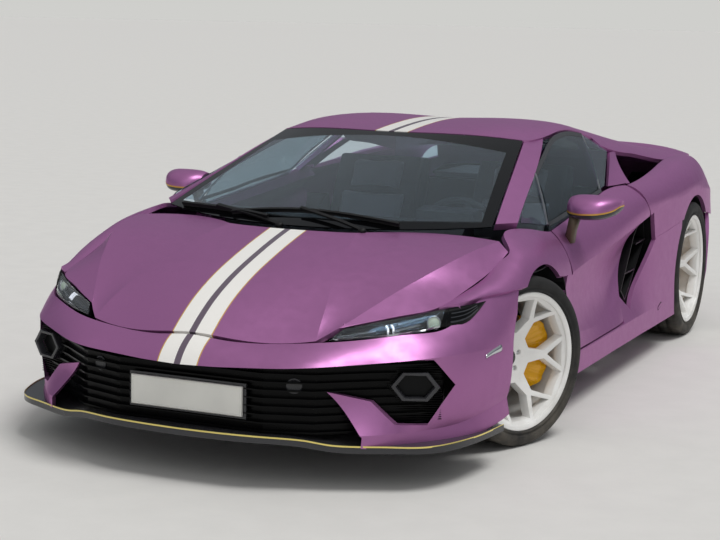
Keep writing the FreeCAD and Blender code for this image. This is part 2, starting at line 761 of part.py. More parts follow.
def subframes():
    """Front rails with crash beam and towers, and rear rails with their cross beam."""
    front = [box(-520, 520, -2110, -2080, 215, 300), box(-500, 500, -1330, -930, 690, 720),
             box(-500, 500, -1330, -1300, 690, 796)]
    rear = [box(-560, 560, 1955, 1995, 300, 360)]
    for sign in (1, -1):
        rails = [box(330, 400, -2080, -930, 215, 300), box(330, 400, -1330, -1006, 300, 690)]
        beams = [box(360, 430, 640, 1955, 250, 330), box(360, 430, 1330, 1650, 330, 560)]
        front += rails if sign > 0 else [mirrored(shape) for shape in rails]
        rear += beams if sign > 0 else [mirrored(shape) for shape in beams]
    return Part.makeCompound([fuse(front), fuse(rear)])


def front_trunk():
    """Luggage tub under the front lid, with the lid's two rubber stops."""
    trunk = box(-300, 300, -2000, -1500, 300, 600).cut(box(-285, 285, -1985, -1515, 315, 620))
    stops = [box(x - 9, x + 9, -1998, -1986, 590, 668).cut(moved(hood(), 0, 0, -SEAM))
             for x in (-240, 240)]
    bridges = [box(-330, 330, -1800, -1700, 285, 300)]
    return fuse([trunk] + bridges + [biggest(stop) for stop in stops])


def wheel_liners():
    """The four wheel arch liners."""
    return Part.makeCompound([pair(front_liner()), pair(rear_liner())])


def cowl():
    """Black tray between hood and screen."""
    front = [(740, -1175), (552, -1266), (287, -1429), (0, -1466)]
    rear = [(0, -1378), (400, -1265), (735, -1088)]
    left = front + rear
    outline = left[:4] + [(-x, y) for x, y in reversed(front[:3])]
    outline += [(-x, y) for x, y in reversed(rear)] + rear[1:]
    return plan_prism(outline, 796, 806)


def dashboard():
    """Dashboard with instrument hood, steering column housing and centre console."""
    main = side_prism(
        [(-885, 560), (-885, 770), (-820, 812), (-640, 800), (-570, 735), (-590, 600), (-680, 540)],
        -690, 690)
    console = side_prism(
        [(-700, 400), (-700, 560), (-600, 610), (-360, 510), (420, 490), (420, 400)], -100, 100)
    binnacle = side_prism([(-690, 790), (-690, 846), (-580, 856), (-560, 770)], 240, 510)
    housing_end = STEERING_CENTRE - STEERING_AXIS * (HUB_DEPTH + COLUMN_GAP)
    housing = rod(STEERING_CENTRE - STEERING_AXIS * 190, housing_end, 32)
    main = main.cut(box(530, 700, -900, -725, 500, 900)).cut(box(-700, -530, -900, -725, 500, 900))
    return fuse([main, console, binnacle, housing])


# Steering wheel
STEERING_CENTRE = place(375, -430, 720)
STEERING_TILT = math.radians(24)
STEERING_AXIS = Vector(0, math.cos(STEERING_TILT), math.sin(STEERING_TILT))
STEERING_UP = Vector(0, -math.sin(STEERING_TILT), math.cos(STEERING_TILT))
STEERING_RADIUS = 175.0
HUB_DEPTH = 36.0
COLUMN_GAP = 0.5


def steering_wheel():
    """Rim, three spokes and hub."""
    rim = Part.makeTorus(STEERING_RADIUS, 15, STEERING_CENTRE, STEERING_AXIS)
    hub = rod(STEERING_CENTRE - STEERING_AXIS * HUB_DEPTH, STEERING_CENTRE + STEERING_AXIS * 10, 52)
    spokes = []
    for angle in (0, 180, 270):
        spoke = Part.makeBox(34, STEERING_RADIUS - 4, 14, Vector(-17, 0, -7))
        spoke.rotate(Vector(0, 0, 0), Vector(0, 0, 1), angle - 90)
        spoke.rotate(Vector(0, 0, 0), Vector(1, 0, 0), 90 + 180 - math.degrees(STEERING_TILT))
        spoke.translate(STEERING_CENTRE)
        spokes.append(spoke)
    return fuse([hub, rim] + spokes)


def seats():
    """Two bucket seats."""
    def bucket(x):
        foot = FLOOR_TOP + SEAM
        cushion = side_prism([(-330, foot), (-340, 330), (-250, 350), (60, 300), (140, foot)],
                             x - 240, x + 240)
        back = side_prism([(60, foot), (60, 320), (330, 900), (400, 1000), (470, 990), (470, 900),
                           (250, foot)], x - 240, x + 240)
        return fuse([cushion, back])
    return Part.makeCompound([bucket(380), bucket(-380)])


# Hexagonal light ring in the corner intake: centre, half width, half height and its turn
RING_CENTRE = place(791, -2014, 371)
RING_HALF_WIDTH = 90.0
RING_HALF_HEIGHT = 53.0
RING_TURN = math.radians(23.5)
RING_BORDER = 0.78
RING_DEPTH = 24.0


def hexagon(centre, half_width, half_height, sideways):
    """Six points with two level edges, standing upright."""
    corners = [(1, 0), (0.52, 1), (-0.52, 1), (-1, 0), (-0.52, -1), (0.52, -1)]
    points = []
    for u, v in corners:
        points.append(centre + sideways * (half_width * u) + Vector(0, 0, half_height * v))
    return points


@functools.lru_cache
def light_ring():
    """Left ring with the stem that carries it in the intake."""
    sideways = Vector(math.cos(RING_TURN), math.sin(RING_TURN), 0)
    inward = Vector(-math.sin(RING_TURN), math.cos(RING_TURN), 0)
    outer = hexagon(RING_CENTRE, RING_HALF_WIDTH, RING_HALF_HEIGHT, sideways)
    inner = hexagon(RING_CENTRE - inward * 5, RING_HALF_WIDTH * RING_BORDER,
                    RING_HALF_HEIGHT * RING_BORDER, sideways)
    ring = prism(outer, inward * RING_DEPTH).cut(prism(inner, inward * (RING_DEPTH * 2)))
    stems = []
    for height in (RING_HALF_HEIGHT - 8, 8 - RING_HALF_HEIGHT):
        root = RING_CENTRE + Vector(0, 0, height) + inward * (RING_DEPTH - 4)
        stems.append(rod(root, root + inward * 120, 5))
    return fuse([ring] + stems)


def ring_recess():
    """Space that the ring needs in front of the grille's back wall."""
    sideways = Vector(math.cos(RING_TURN), math.sin(RING_TURN), 0)
    inward = Vector(-math.sin(RING_TURN), math.cos(RING_TURN), 0)
    outer = hexagon(RING_CENTRE - inward * 90, RING_HALF_WIDTH + 14, RING_HALF_HEIGHT + 14, sideways)
    return prism(outer, inward * 128)


@functools.lru_cache
def front_grille():
    """Black grille behind the nose opening: a back wall with thin slats across."""
    half = [(300, -2250), (480, -2190), (640, -2060), (780, -1960), (850, -1890)]
    path = [(-x, y) for x, y in reversed(half)] + half

    def band(near, far, z0, z1):
        outline = [(x, y + near) for x, y in path] + [(x, y + far) for x, y in reversed(path)]
        return plan_prism(outline, z0, z1)
    parts = [band(0, 10, 196, 466)]
    for k in range(9):
        z = 205 + 30 * k
        parts.append(band(-24, 0, z, z + 5))
    grille = fuse(parts)
    for shape in (ring_recess(), mirrored(ring_recess())):
        grille = grille.cut(shape)
    return biggest(seated(grille.cut(front_bumper()), front_splitter(), 0, 0, SEAM))


def number_plate():
    """Blank plate on the grille."""
    return box(-230, 230, -2284, -2274, 254, 364)


def headlamps():
    """Lamp pods with projector and the hexagonal light rings in the corner intakes."""
    low = line_of((507, -2146, 537), (600, -2093, 544), (690, -2029, 551), (775, -1956, 563),
                  (832, -1882, 575))
    high = line_of((538, -2088, 573), (622, -2027, 591), (712, -1955, 609), (788, -1885, 626),
                   (836, -1836, 634))
    toward = place(400, -1700, 400)
    lines = [low, high]
    lens = panel(lines, 4.0, toward, gap=3.0)
    inset = pushed_in(lines, 4.0 + SEAM, toward)
    deeper = pushed_in(lines, 2.0, toward)
    pod = panel(inset, 56.0, toward, gap=3.0).cut(panel(deeper, 50.0, toward, gap=9.0))
    for other in (hood_room(), front_bumper(), front_fenders()):
        pod = pod.cut(other)
    return Part.makeCompound([pair(pod), pair(lens), pair(light_ring().cut(front_grille()))])


@functools.lru_cache
def mirror_housing():
    """Left door mirror on its stalk."""
    table = [
        (900, -592, -478, 872, 938), (965, -640, -480, 862, 950), (1045, -632, -476, 866, 950),
        (1100, -560, -466, 880, 940), (1121, -500, -462, 896, 924),
    ]
    wires = []
    for x, front, rear, low, high in table:
        tall = high - low
        deep = rear - front
        outline = [(front, low + tall * 0.35), (front + deep * 0.2, high - tall * 0.2),
                   (front + deep * 0.45, high), (rear - deep * 0.06, high), (rear, high - 5),
                   (rear, low + 5), (rear - deep * 0.1, low), (front + deep * 0.35, low)]
        wires.append(Part.makePolygon([place(x, y, z) for y, z in outline + outline[:1]]))
    body = Part.makeLoft(wires, True, True)
    stalk = Part.makeLoft([
        Part.makePolygon(line_of((875, -590, 700), (925, -590, 700), (925, -530, 700),
                                 (875, -530, 700), (875, -590, 700))),
        Part.makePolygon(line_of((915, -600, 880), (955, -600, 880), (955, -530, 880),
                                 (915, -530, 880), (915, -600, 880))),
    ], True, True)
    return fuse([body, stalk]).cut(door())


def side_ducts():
    """Black ducts behind the side intakes, each with two blades."""
    outline = [(592, 728), (636, 738), (684, 612), (352, 348), (264, 408), (470, 655)]
    inner = [(590, 720), (630, 728), (674, 612), (352, 358), (276, 410), (480, 655)]
    ring = side_prism(outline, 800, 925).cut(side_prism(inner, 806, 930))
    upper = side_prism([(500, 606), (676, 612), (676, 618), (500, 612)], 806, 930)
    lower = side_prism([(330, 480), (510, 480), (516, 486), (336, 486)], 806, 925)
    return pair(fuse([ring, upper, lower]))


def engine_block():
    """Engine and gearbox as plain blocks between the rails."""
    return fuse([box(-360, 360, 700, 1290, 240, 720), box(-220, 220, 1290, 1840, 240, 520),
                 box(-240, 240, 760, 1240, 720, 880)])


def exhaust():
    """Silencer on the rear rails with its two outlets in the middle of the tail."""
    parts = [box(-420, 420, 1880, 2030, 470, 660), box(365, 425, 1895, 1950, 330, 470),
             box(-425, -365, 1895, 1950, 330, 470)]
    for x in (-78, 78):
        tube = rod(place(x, 2030, 600), place(x, 2335, 600), 56)
        bore = rod(place(x, 2060, 600), place(x, 2340, 600), 49)
        parts.append(tube.cut(bore))
    return fuse(parts)


# Wheels, brakes and knuckles. Local frame: the wheel centre is the origin and +X points outward.
BEAD_DEPTH = 12.0
FLANGE = 6.0


def revolved(outline):
    """A closed outline of (x, radius) turned about the X axis."""
    points = [Vector(x, 0, r) for x, r in outline + outline[:1]]
    return Part.Face(Part.makePolygon(points)).revolve(Vector(0, 0, 0), Vector(1, 0, 0), 360)


def tyre(width, radius, rim_radius):
    """Solid ring of a low-profile tyre, on the rim's two flanges."""
    half = width / 2
    side = [(half, rim_radius), (half - TYRE_SHOULDER, radius)]
    return revolved([(-x, r) for x, r in side] + [(x, r) for x, r in reversed(side)])


def polar(radius, degrees, x):
    """A point on the wheel face."""
    angle = math.radians(degrees)
    return Vector(x, radius * math.sin(angle), radius * math.cos(angle))


def rim(width, rim_radius):
    """One-piece wheel with five forked spokes."""
    half = width / 2 - 10
    bead = rim_radius - BEAD_DEPTH
    inside = bead - RIM_WALL
    barrel = revolved([
        (-half, inside), (-half, rim_radius), (-half + FLANGE, rim_radius), (-half + FLANGE, bead),
        (half - FLANGE, bead), (half - FLANGE, rim_radius), (half, rim_radius), (half, inside),
    ])
    face = revolved([
        (-22, 0), (-22, HUB_RADIUS), (half - 52, inside + 1), (half - 8, inside + 1),
        (30, HUB_RADIUS - 16), (22, 40), (22, 0),
    ])
    wheel = barrel.fuse(face)
    tools = []
    for k in range(SPOKE_COUNT):
        turn = 360.0 * k / SPOKE_COUNT
        big = [(112, -12), (172, -19), (inside - 12, -15), (inside - 12, 15), (172, 19), (112, 12)]
        small = [(150, 34.5), (inside - 14, 27), (inside - 14, 45), (150, 37.5)]
        for window in (big, small):
            points = [polar(r, turn + a, -60) for r, a in window]
            tools.append(prism(points, Vector(300, 0, 0)))
        hole = polar(56, turn, 0)
        tools.append(Part.makeCylinder(8, 60, Vector(8, hole.y, hole.z), Vector(1, 0, 0)))
    return wheel.cut(tools)


def disc(radius, inner_face):
    """Brake disc with its bell, against the wheel's mounting face."""
    ring = revolved([(inner_face, 95), (inner_face, radius), (inner_face + DISC_THICKNESS, radius),
                     (inner_face + DISC_THICKNESS, 95)])
    bell = revolved([(inner_face, 32), (inner_face, 96), (-22, 96), (-22, 32)])
    return ring.fuse(bell).removeSplitter()


def caliper(disc_radius, inner_face, middle_angle, reach):
    """Brake caliper over the disc, as a sector with a slot."""
    low = disc_radius * 0.64
    high = disc_radius + 38
    points = []
    for a in (-reach, -reach / 3, reach / 3, reach):
        points.append(polar(high, middle_angle + a, inner_face - 22))
    for a in (reach, reach / 3, -reach / 3, -reach):
        points.append(polar(low, middle_angle + a, inner_face - 22))
    body = prism(points, Vector(DISC_THICKNESS + 40, 0, 0))
    slot = revolved([(inner_face - 4, 20), (inner_face - 4, disc_radius + 6),
                     (inner_face + DISC_THICKNESS + 4, disc_radius + 6),
                     (inner_face + DISC_THICKNESS + 4, 20)])
    return body.cut(slot)


def local_box(x0, x1, y0, y1, z0, z1):
    """A block in a wheel's own frame."""
    return Part.makeBox(x1 - x0, y1 - y0, z1 - z0, Vector(x0, y0, z0))


FRONT_DISC_FACE = -93.0
REAR_DISC_FACE = -93.0
KINGPIN_LOCAL = KINGPIN_X - FRONT_HALF_TRACK
BALL_HEIGHT = 180.0
CALIPER_ANGLE = 90.0
CALIPER_REACH = 34.0


def carrier(inner_face, ball_x, stub_end):
    """Hub carrier with stub axle, ball joint posts and caliper bracket."""
    stub = Part.makeCylinder(31, stub_end - inner_face + 10, Vector(inner_face - 10, 0, 0),
                             Vector(1, 0, 0))
    hub = Part.makeCylinder(58, 50, Vector(inner_face - 52, 0, 0), Vector(1, 0, 0))
    post = local_box(ball_x - 17, ball_x + 17, -22, 22, -BALL_HEIGHT, BALL_HEIGHT)
    inboard = local_box(ball_x - 40, ball_x + 17, -34, 34, -90, 90)
    bracket = local_box(inner_face - 42, inner_face - 22, 20, 190, -52, 52)
    return fuse([stub, hub, post, inboard, bracket])


def at_wheel(shape, axle_y, half_track, radius, steered=False):
    """Move a left wheel part to its place, turned to the parked steering angle if it steers."""
    moved = shape.copy()
    centre = place(half_track, axle_y, 0)
    moved.translate(Vector(centre.x, centre.y, radius))
    if steered:
        moved.rotate(place(KINGPIN_X, axle_y, 0), Vector(0, 0, 1), STEER_REST)
    return moved


def at_right_wheel(shape, axle_y, half_track, radius, steered=False):
    """The mirrored part on the right side, turned the same way as the left one."""
    moved = mirrored(shape)
    centre = place(-half_track, axle_y, 0)
    moved.translate(Vector(centre.x, centre.y, radius))
    if steered:
        moved.rotate(place(-KINGPIN_X, axle_y, 0), Vector(0, 0, 1), STEER_REST)
    return moved


def front_left(shape):
    return at_wheel(shape, FRONT_AXLE_Y, FRONT_HALF_TRACK, FRONT_TYRE_RADIUS, True)


def front_right(shape):
    return at_right_wheel(shape, FRONT_AXLE_Y, FRONT_HALF_TRACK, FRONT_TYRE_RADIUS, True)


def rear_left(shape):
    return at_wheel(shape, REAR_AXLE_Y, REAR_HALF_TRACK, REAR_TYRE_RADIUS)


def rear_right(shape):
    return at_right_wheel(shape, REAR_AXLE_Y, REAR_HALF_TRACK, REAR_TYRE_RADIUS)


def wishbone(inner_x, outer_x, axle_y, z0, z1, spread):
    """A flat A-shaped arm between a frame face and a ball joint."""
    outline = [(inner_x, axle_y - spread), (outer_x - 6, axle_y - 16), (outer_x + 12, axle_y - 9),
               (outer_x + 12, axle_y + 9), (outer_x - 6, axle_y + 16), (inner_x, axle_y + spread)]
    hole = [(inner_x + 34, axle_y - spread + 62), (outer_x - 90, axle_y - 14),
            (outer_x - 90, axle_y + 14), (inner_x + 34, axle_y + spread - 62)]
    arm = plan_prism(outline, z0, z1)
    return arm.cut(plan_prism(hole, z0 - 10, z1 + 10))


def suspension():
    """Wishbones front and rear, dampers, and the rear hub carriers."""
    front_low = FRONT_TYRE_RADIUS - BALL_HEIGHT
    front_high = FRONT_TYRE_RADIUS + BALL_HEIGHT
    rear_low = REAR_TYRE_RADIUS - BALL_HEIGHT
    rear_high = REAR_TYRE_RADIUS + BALL_HEIGHT
    rear_ball = REAR_HALF_TRACK + REAR_DISC_FACE - 25
    front_y = FRONT_AXLE_Y
    rear_y = REAR_AXLE_Y
    solids = [
        fuse([wishbone(400, KINGPIN_X, front_y, front_low - 22, front_low, 160),
              box(400, 416, front_y - 160, front_y + 160, front_low - 22, 300)]),
        wishbone(400, KINGPIN_X, front_y, front_high, front_high + 20, 150),
        fuse([wishbone(430, rear_ball, rear_y, rear_low - 22, rear_low, 160),
              box(430, 446, rear_y - 160, rear_y + 160, rear_low - 22, 330)]),
        wishbone(430, rear_ball, rear_y, rear_high, rear_high + 20, 150),
        rear_left(carrier(REAR_DISC_FACE, REAR_DISC_FACE - 25, -60)),
    ]
    return pair(Part.makeCompound(solids))


def rear_calipers():
    """Rear brake calipers."""
    left = rear_left(caliper(REAR_DISC_RADIUS, REAR_DISC_FACE, CALIPER_ANGLE, CALIPER_REACH))
    return pair(left)


def front_caliper():
    return caliper(FRONT_DISC_RADIUS, FRONT_DISC_FACE, CALIPER_ANGLE, CALIPER_REACH)


def front_carrier():
    return carrier(FRONT_DISC_FACE, KINGPIN_LOCAL, -60)


def front_tyre():
    return tyre(FRONT_TYRE_WIDTH, FRONT_TYRE_RADIUS, FRONT_RIM_RADIUS)


def rear_tyre():
    return tyre(REAR_TYRE_WIDTH, REAR_TYRE_RADIUS, REAR_RIM_RADIUS)


def front_rim():
    return rim(FRONT_TYRE_WIDTH, FRONT_RIM_RADIUS)


def rear_rim():
    return rim(REAR_TYRE_WIDTH, REAR_RIM_RADIUS)


def front_disc():
    return disc(FRONT_DISC_RADIUS, FRONT_DISC_FACE)


def rear_disc():
    return disc(REAR_DISC_RADIUS, REAR_DISC_FACE)


# Pieces by node name
PIECES = {
    "front_bumper": front_bumper,
    "front_splitter": front_splitter,
    "front_grille": front_grille,
    "number_plate": number_plate,
    "headlamps": headlamps,
    "front_fenders": front_fenders,
    "hood": hood,
    "cowl": cowl,
    "fixed_glass": fixed_glass,
    "cabin_frame": cabin_frame,
    "door_left": door,
    "door_right": lambda: mirrored(door()),
    "door_glass_left": door_glass,
    "door_glass_right": lambda: mirrored(door_glass()),
    "mirror_left": mirror_housing,
    "mirror_right": lambda: mirrored(mirror_housing()),
    "body_sides": body_sides,
    "side_ducts": side_ducts,
    "rear_quarters": rear_quarters,
    "rear_bumper": rear_bumper,
    "tail_lamps": tail_lamps,
    "tail_spoiler": tail_spoiler,
    "diffuser": diffuser,
    "engine_cover": engine_cover,
    "engine_block": engine_block,
    "exhaust": exhaust,
    "floor_tub": floor_tub,
    "subframes": subframes,
    "front_trunk": front_trunk,
    "wheel_liners": wheel_liners,
    "dashboard": dashboard,
    "steering_wheel": steering_wheel,
    "seats": seats,
    "suspension": suspension,
    "rear_calipers": rear_calipers,
    "knuckle_left": lambda: front_left(front_carrier()),
    "knuckle_right": lambda: front_right(front_carrier()),
    "caliper_left": lambda: front_left(front_caliper()),
    "caliper_right": lambda: front_right(front_caliper()),
    "tyre_front_left": lambda: front_left(front_tyre()),
    "tyre_front_right": lambda: front_right(front_tyre()),
    "tyre_rear_left": lambda: rear_left(rear_tyre()),
    "tyre_rear_right": lambda: rear_right(rear_tyre()),
    "rim_front_left": lambda: front_left(front_rim()),
    "rim_front_right": lambda: front_right(front_rim()),
    "rim_rear_left": lambda: rear_left(rear_rim()),
    "rim_rear_right": lambda: rear_right(rear_rim()),
    "disc_front_left": lambda: front_left(front_disc()),
    "disc_front_right": lambda: front_right(front_disc()),
    "disc_rear_left": lambda: rear_left(rear_disc()),
    "disc_rear_right": lambda: rear_right(rear_disc()),
}

os.makedirs("parts", exist_ok=True)
for name, make in PIECES.items():
    shape = make()
    print(name, shape.isValid(), round(shape.Volume / 1e6, 2), len(shape.Faces), len(shape.Solids))
    shape.exportStep("parts/" + name + ".step")
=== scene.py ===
"""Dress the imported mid-engined coupe for its photograph: finishes, fittings, light and camera."""

import json
import logging
import math
from dataclasses import dataclass, field
from enum import Enum

import bmesh
import bpy
from mathutils import Matrix, Vector
from mathutils.bvhtree import BVHTree

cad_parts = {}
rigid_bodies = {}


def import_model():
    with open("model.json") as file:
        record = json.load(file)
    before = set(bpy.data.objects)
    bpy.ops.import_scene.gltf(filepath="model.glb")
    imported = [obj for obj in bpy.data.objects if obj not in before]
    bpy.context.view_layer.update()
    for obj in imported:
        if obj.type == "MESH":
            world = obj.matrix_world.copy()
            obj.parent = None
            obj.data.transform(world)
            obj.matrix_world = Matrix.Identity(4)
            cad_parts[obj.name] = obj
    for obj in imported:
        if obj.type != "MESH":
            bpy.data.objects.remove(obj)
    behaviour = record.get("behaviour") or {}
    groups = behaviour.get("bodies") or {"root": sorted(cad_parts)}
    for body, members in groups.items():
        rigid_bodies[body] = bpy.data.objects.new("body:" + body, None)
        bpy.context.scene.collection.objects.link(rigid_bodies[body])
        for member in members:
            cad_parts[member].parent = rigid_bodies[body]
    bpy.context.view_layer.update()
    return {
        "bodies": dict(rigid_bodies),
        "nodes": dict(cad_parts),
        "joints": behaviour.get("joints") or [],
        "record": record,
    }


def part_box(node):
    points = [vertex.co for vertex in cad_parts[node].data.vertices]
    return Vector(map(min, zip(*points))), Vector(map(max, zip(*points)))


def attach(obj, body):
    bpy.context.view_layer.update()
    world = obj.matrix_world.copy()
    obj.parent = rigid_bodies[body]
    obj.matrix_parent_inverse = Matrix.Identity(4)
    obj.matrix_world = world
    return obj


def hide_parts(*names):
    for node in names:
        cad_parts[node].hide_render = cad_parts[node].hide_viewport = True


log = logging.getLogger("scene")


class Body(str, Enum):
    """The bodies that pieces are named to ride on."""

    CHASSIS = "chassis"
    DOOR_LEFT = "door_l"
    DOOR_RIGHT = "door_r"


class Side(Enum):
    """Left or right of the car, with the sign of X."""

    LEFT = 1
    RIGHT = -1

    @property
    def label(self) -> str:
        """Name part of this side."""
        return self.name.lower()

    @property
    def door(self) -> str:
        """Body of the door on this side."""
        return (Body.DOOR_LEFT if self is Side.LEFT else Body.DOOR_RIGHT).value

    def placed(self, points: list) -> list:
        """Points of the left side, brought to this side."""
        return list(points) if self is Side.LEFT else mirrored(points)


def mirrored(points: list) -> list:
    """The same points on the car's right side."""
    return [Vector((-p[0], p[1], p[2])) for p in points]


def linear(code: str, alpha: float = 1.0) -> tuple[float, float, float, float]:
    """Turn an sRGB hex colour into linear values.

    Args:
        code: Colour as "#rrggbb".
        alpha: Fourth value.

    Returns:
        Linear red, green, blue and alpha.
    """
    channels = [int(code[k:k + 2], 16) / 255 for k in (1, 3, 5)]
    turned = [c / 12.92 if c <= 0.04045 else ((c + 0.055) / 1.055) ** 2.4 for c in channels]
    return (turned[0], turned[1], turned[2], alpha)


# Shader building
Tree = bpy.types.NodeTree
Socket = bpy.types.NodeSocket
DUST = "#8f8678"


def add_node(tree: Tree, kind: str, values: dict | None = None, out: int | str = 0,
             **settings: str) -> Socket:
    """Add one shader node with its settings, values and links.

    Args:
        tree: Node tree of a material or world.
        kind: Node type without its "ShaderNode" start.
        values: Socket name or number to a value or to an output that is linked.
        out: Name or number of the output that is given back.
        settings: Attributes of the node.

    Returns:
        The chosen output.
    """
    node = tree.nodes.new("ShaderNode" + kind)
    for name, value in settings.items():
        setattr(node, name, value)
    for socket, value in (values or {}).items():
        if isinstance(value, Socket):
            tree.links.new(value, node.inputs[socket])
        else:
            node.inputs[socket].default_value = value
    return node.outputs[out]


@dataclass(frozen=True)
class Finish:
    """A surface with constant shader values, fine grain and slight changes of tone.

    Attributes:
        name: Material name.
        colour: Base colour as sRGB hex.
        roughness: Mean roughness.
        metallic: Metal share.
        coat: Clear coat weight.
        coat_roughness: Roughness of the clear coat.
        sheen: Weight of the fibre sheen.
        grain: Grains per metre of the surface making, 0 for none.
        depth: Depth of that grain in metres.
        tone: Share by which the colour changes over the piece.
        dusty: How much road dust lies near the ground.
        emission: Strength of light given off.
        specular: Level of the mirror-like reflection.
    """

    name: str
    colour: str
    roughness: float
    metallic: float = 0.0
    coat: float = 0.0
    coat_roughness: float = 0.05
    sheen: float = 0.0
    grain: float = 0.0
    depth: float = 0.0
    tone: float = 0.08
    dusty: float = 0.0
    emission: float = 0.0
    specular: float = 0.5

    def base_colour(self, tree: Tree, place: Socket) -> Socket:
        """Give the colour before dust, in patches of about a sixth of a metre.

        Args:
            tree: Node tree of the material.
            place: Coordinates in the car's frame.

        Returns:
            A colour output.
        """
        pure = linear(self.colour)
        darker = tuple(c * (1 - self.tone) for c in pure[:3]) + (1.0,)
        patches = add_node(tree, "TexNoise", {"Vector": place, "Scale": 6.0, "Detail": 3.0}, "Fac")
        share = add_node(tree, "MapRange", {"Value": patches, "From Min": 0.35, "From Max": 0.65})
        return add_node(tree, "Mix", {0: share, 6: darker, 7: pure}, 2, data_type="RGBA")

    def dress(self, tree: Tree, shader: bpy.types.Node, place: Socket) -> None:
        """Add what this finish alone has.

        Args:
            tree: Node tree of the material.
            shader: Its principled shader.
            place: Coordinates in the car's frame.
        """

    def add_dust(self, tree: Tree, place: Socket, colour: Socket) -> Socket:
        """Lay road dust over the colour, thicker towards the ground.

        Args:
            tree: Node tree of the material.
            place: Coordinates in the car's frame.
            colour: Colour under the dust.

        Returns:
            The colour with its dust.
        """
        height = add_node(tree, "SeparateXYZ", {0: place}, 2)
        low = add_node(tree, "MapRange", {"Value": height, "From Min": 0.45, "From Max": 0.05,
                                          "To Max": self.dusty})
        cloud = add_node(tree, "TexNoise", {"Vector": place, "Scale": 14.0, "Detail": 5.0}, "Fac")
        streaks = add_node(tree, "MapRange", {"Value": cloud, "From Min": 0.3, "From Max": 0.75})
        share = add_node(tree, "Math", {0: low, 1: streaks}, operation="MULTIPLY")
        return add_node(tree, "Mix", {0: share, 6: colour, 7: linear(DUST)}, 2, data_type="RGBA")

    def material(self) -> bpy.types.Material:
        """Build the material, or give it back if it is there.

        Returns:
            The material.
        """
        done = bpy.data.materials.get(self.name)
        if done:
            return done
        made = bpy.data.materials.new(self.name)
        made.use_nodes = True
        tree = made.node_tree
        shader = tree.nodes["Principled BSDF"]
        for socket, value in (("Metallic", self.metallic), ("Coat Weight", self.coat),
                              ("Coat Roughness", self.coat_roughness),
                              ("Sheen Weight", self.sheen),
                              ("Specular IOR Level", self.specular)):
            shader.inputs[socket].default_value = value
        place = add_node(tree, "TexCoord", out="Object")
        colour = self.base_colour(tree, place)
        wear = add_node(tree, "TexNoise", {"Vector": place, "Scale": 25.0, "Detail": 3.0}, "Fac")
        rough = add_node(tree, "MapRange", {"Value": wear, "From Min": 0.3, "From Max": 0.7,
                                            "To Min": self.roughness * 0.9,
                                            "To Max": min(1.0, self.roughness * 1.12)})
        if self.dusty:
            colour = self.add_dust(tree, place, colour)
        tree.links.new(colour, shader.inputs["Base Color"])
        tree.links.new(rough, shader.inputs["Roughness"])
        if self.grain:
            skin = add_node(tree, "TexNoise", {"Vector": place, "Scale": self.grain}, "Fac")
            normal = add_node(tree, "Bump", {"Height": skin, "Strength": 1.0,
                                             "Distance": self.depth})
            tree.links.new(normal, shader.inputs["Normal"])
        if self.emission:
            shader.inputs["Emission Color"].default_value = linear(self.colour)
            shader.inputs["Emission Strength"].default_value = self.emission
        self.dress(tree, shader, place)
        return made


@dataclass(frozen=True)
class SatinPaint(Finish):
    """Satin metallic body paint: fine flakes under a soft clear coat, with the body's stripes.

    Attributes:
        flake: Colour of the flakes that catch the light.
        flakes: Flakes per metre, drawn coarser than real ones so that they show.
        shine: Tint of the reflection.
        striped: Whether the pair of stripes runs over the piece.
        stripe_colours: White band, thin band between them, thin gold edge.
        stripe_half_widths: Half width of the middle band, of the white ones and of the gold edge.
    """

    flake: str = "#d7a3d0"
    flakes: float = 1800.0
    shine: str = "#f3c6ee"
    striped: bool = False
    stripe_colours: tuple[str, str, str] = ("#eceae4", "#5f5560", "#c79b4a")
    stripe_half_widths: tuple[float, float, float] = (0.013, 0.079, 0.0835)

    def base_colour(self, tree: Tree, place: Socket) -> Socket:
        """Mix base colour and flakes, then lay the stripes over them.

        Args:
            tree: Node tree of the material.
            place: Coordinates in the car's frame.

        Returns:
            A colour output.
        """
        glitter = add_node(tree, "TexNoise", {"Vector": place, "Scale": self.flakes,
                                              "Detail": 1.0}, "Fac")
        share = add_node(tree, "MapRange", {"Value": glitter, "From Min": 0.55, "From Max": 0.75,
                                            "To Max": 0.35})
        colour = add_node(tree, "Mix", {0: share, 6: linear(self.colour), 7: linear(self.flake)},
                          2, data_type="RGBA")
        if not self.striped:
            return colour
        across = self.across(tree, place)
        middle, white, edge = self.stripe_half_widths
        bands = linear(self.stripe_colours[2])
        for half, code in ((white, self.stripe_colours[0]), (middle, self.stripe_colours[1])):
            inside = add_node(tree, "Math", {0: across, 1: half}, operation="LESS_THAN")
            bands = add_node(tree, "Mix", {0: inside, 6: bands, 7: linear(code)}, 2,
                             data_type="RGBA")
        striped = add_node(tree, "Math", {0: across, 1: edge}, operation="LESS_THAN")
        return add_node(tree, "Mix", {0: striped, 6: colour, 7: bands}, 2, data_type="RGBA")

    def across(self, tree: Tree, place: Socket) -> Socket:
        """Give the distance from the car's middle plane.

        Args:
            tree: Node tree of the material.
            place: Coordinates in the car's frame.

        Returns:
            The distance output.
        """
        sideways = add_node(tree, "SeparateXYZ", {0: place}, 0)
        return add_node(tree, "Math", {0: sideways}, operation="ABSOLUTE")

    def dress(self, tree: Tree, shader: bpy.types.Node, place: Socket) -> None:
        """Tint the paint's edge-on reflection, and take the metal out of the stripes.

        Args:
            tree: Node tree of the material.
            shader: Its principled shader.
            place: Coordinates in the car's frame.
        """
        shader.inputs["Specular Tint"].default_value = linear(self.shine)
        if self.striped:
            bare = add_node(tree, "Math", {0: self.across(tree, place),
                                           1: self.stripe_half_widths[2]},
                            operation="GREATER_THAN")
            metal = add_node(tree, "Math", {0: bare, 1: self.metallic}, operation="MULTIPLY")
            tree.links.new(metal, shader.inputs["Metallic"])


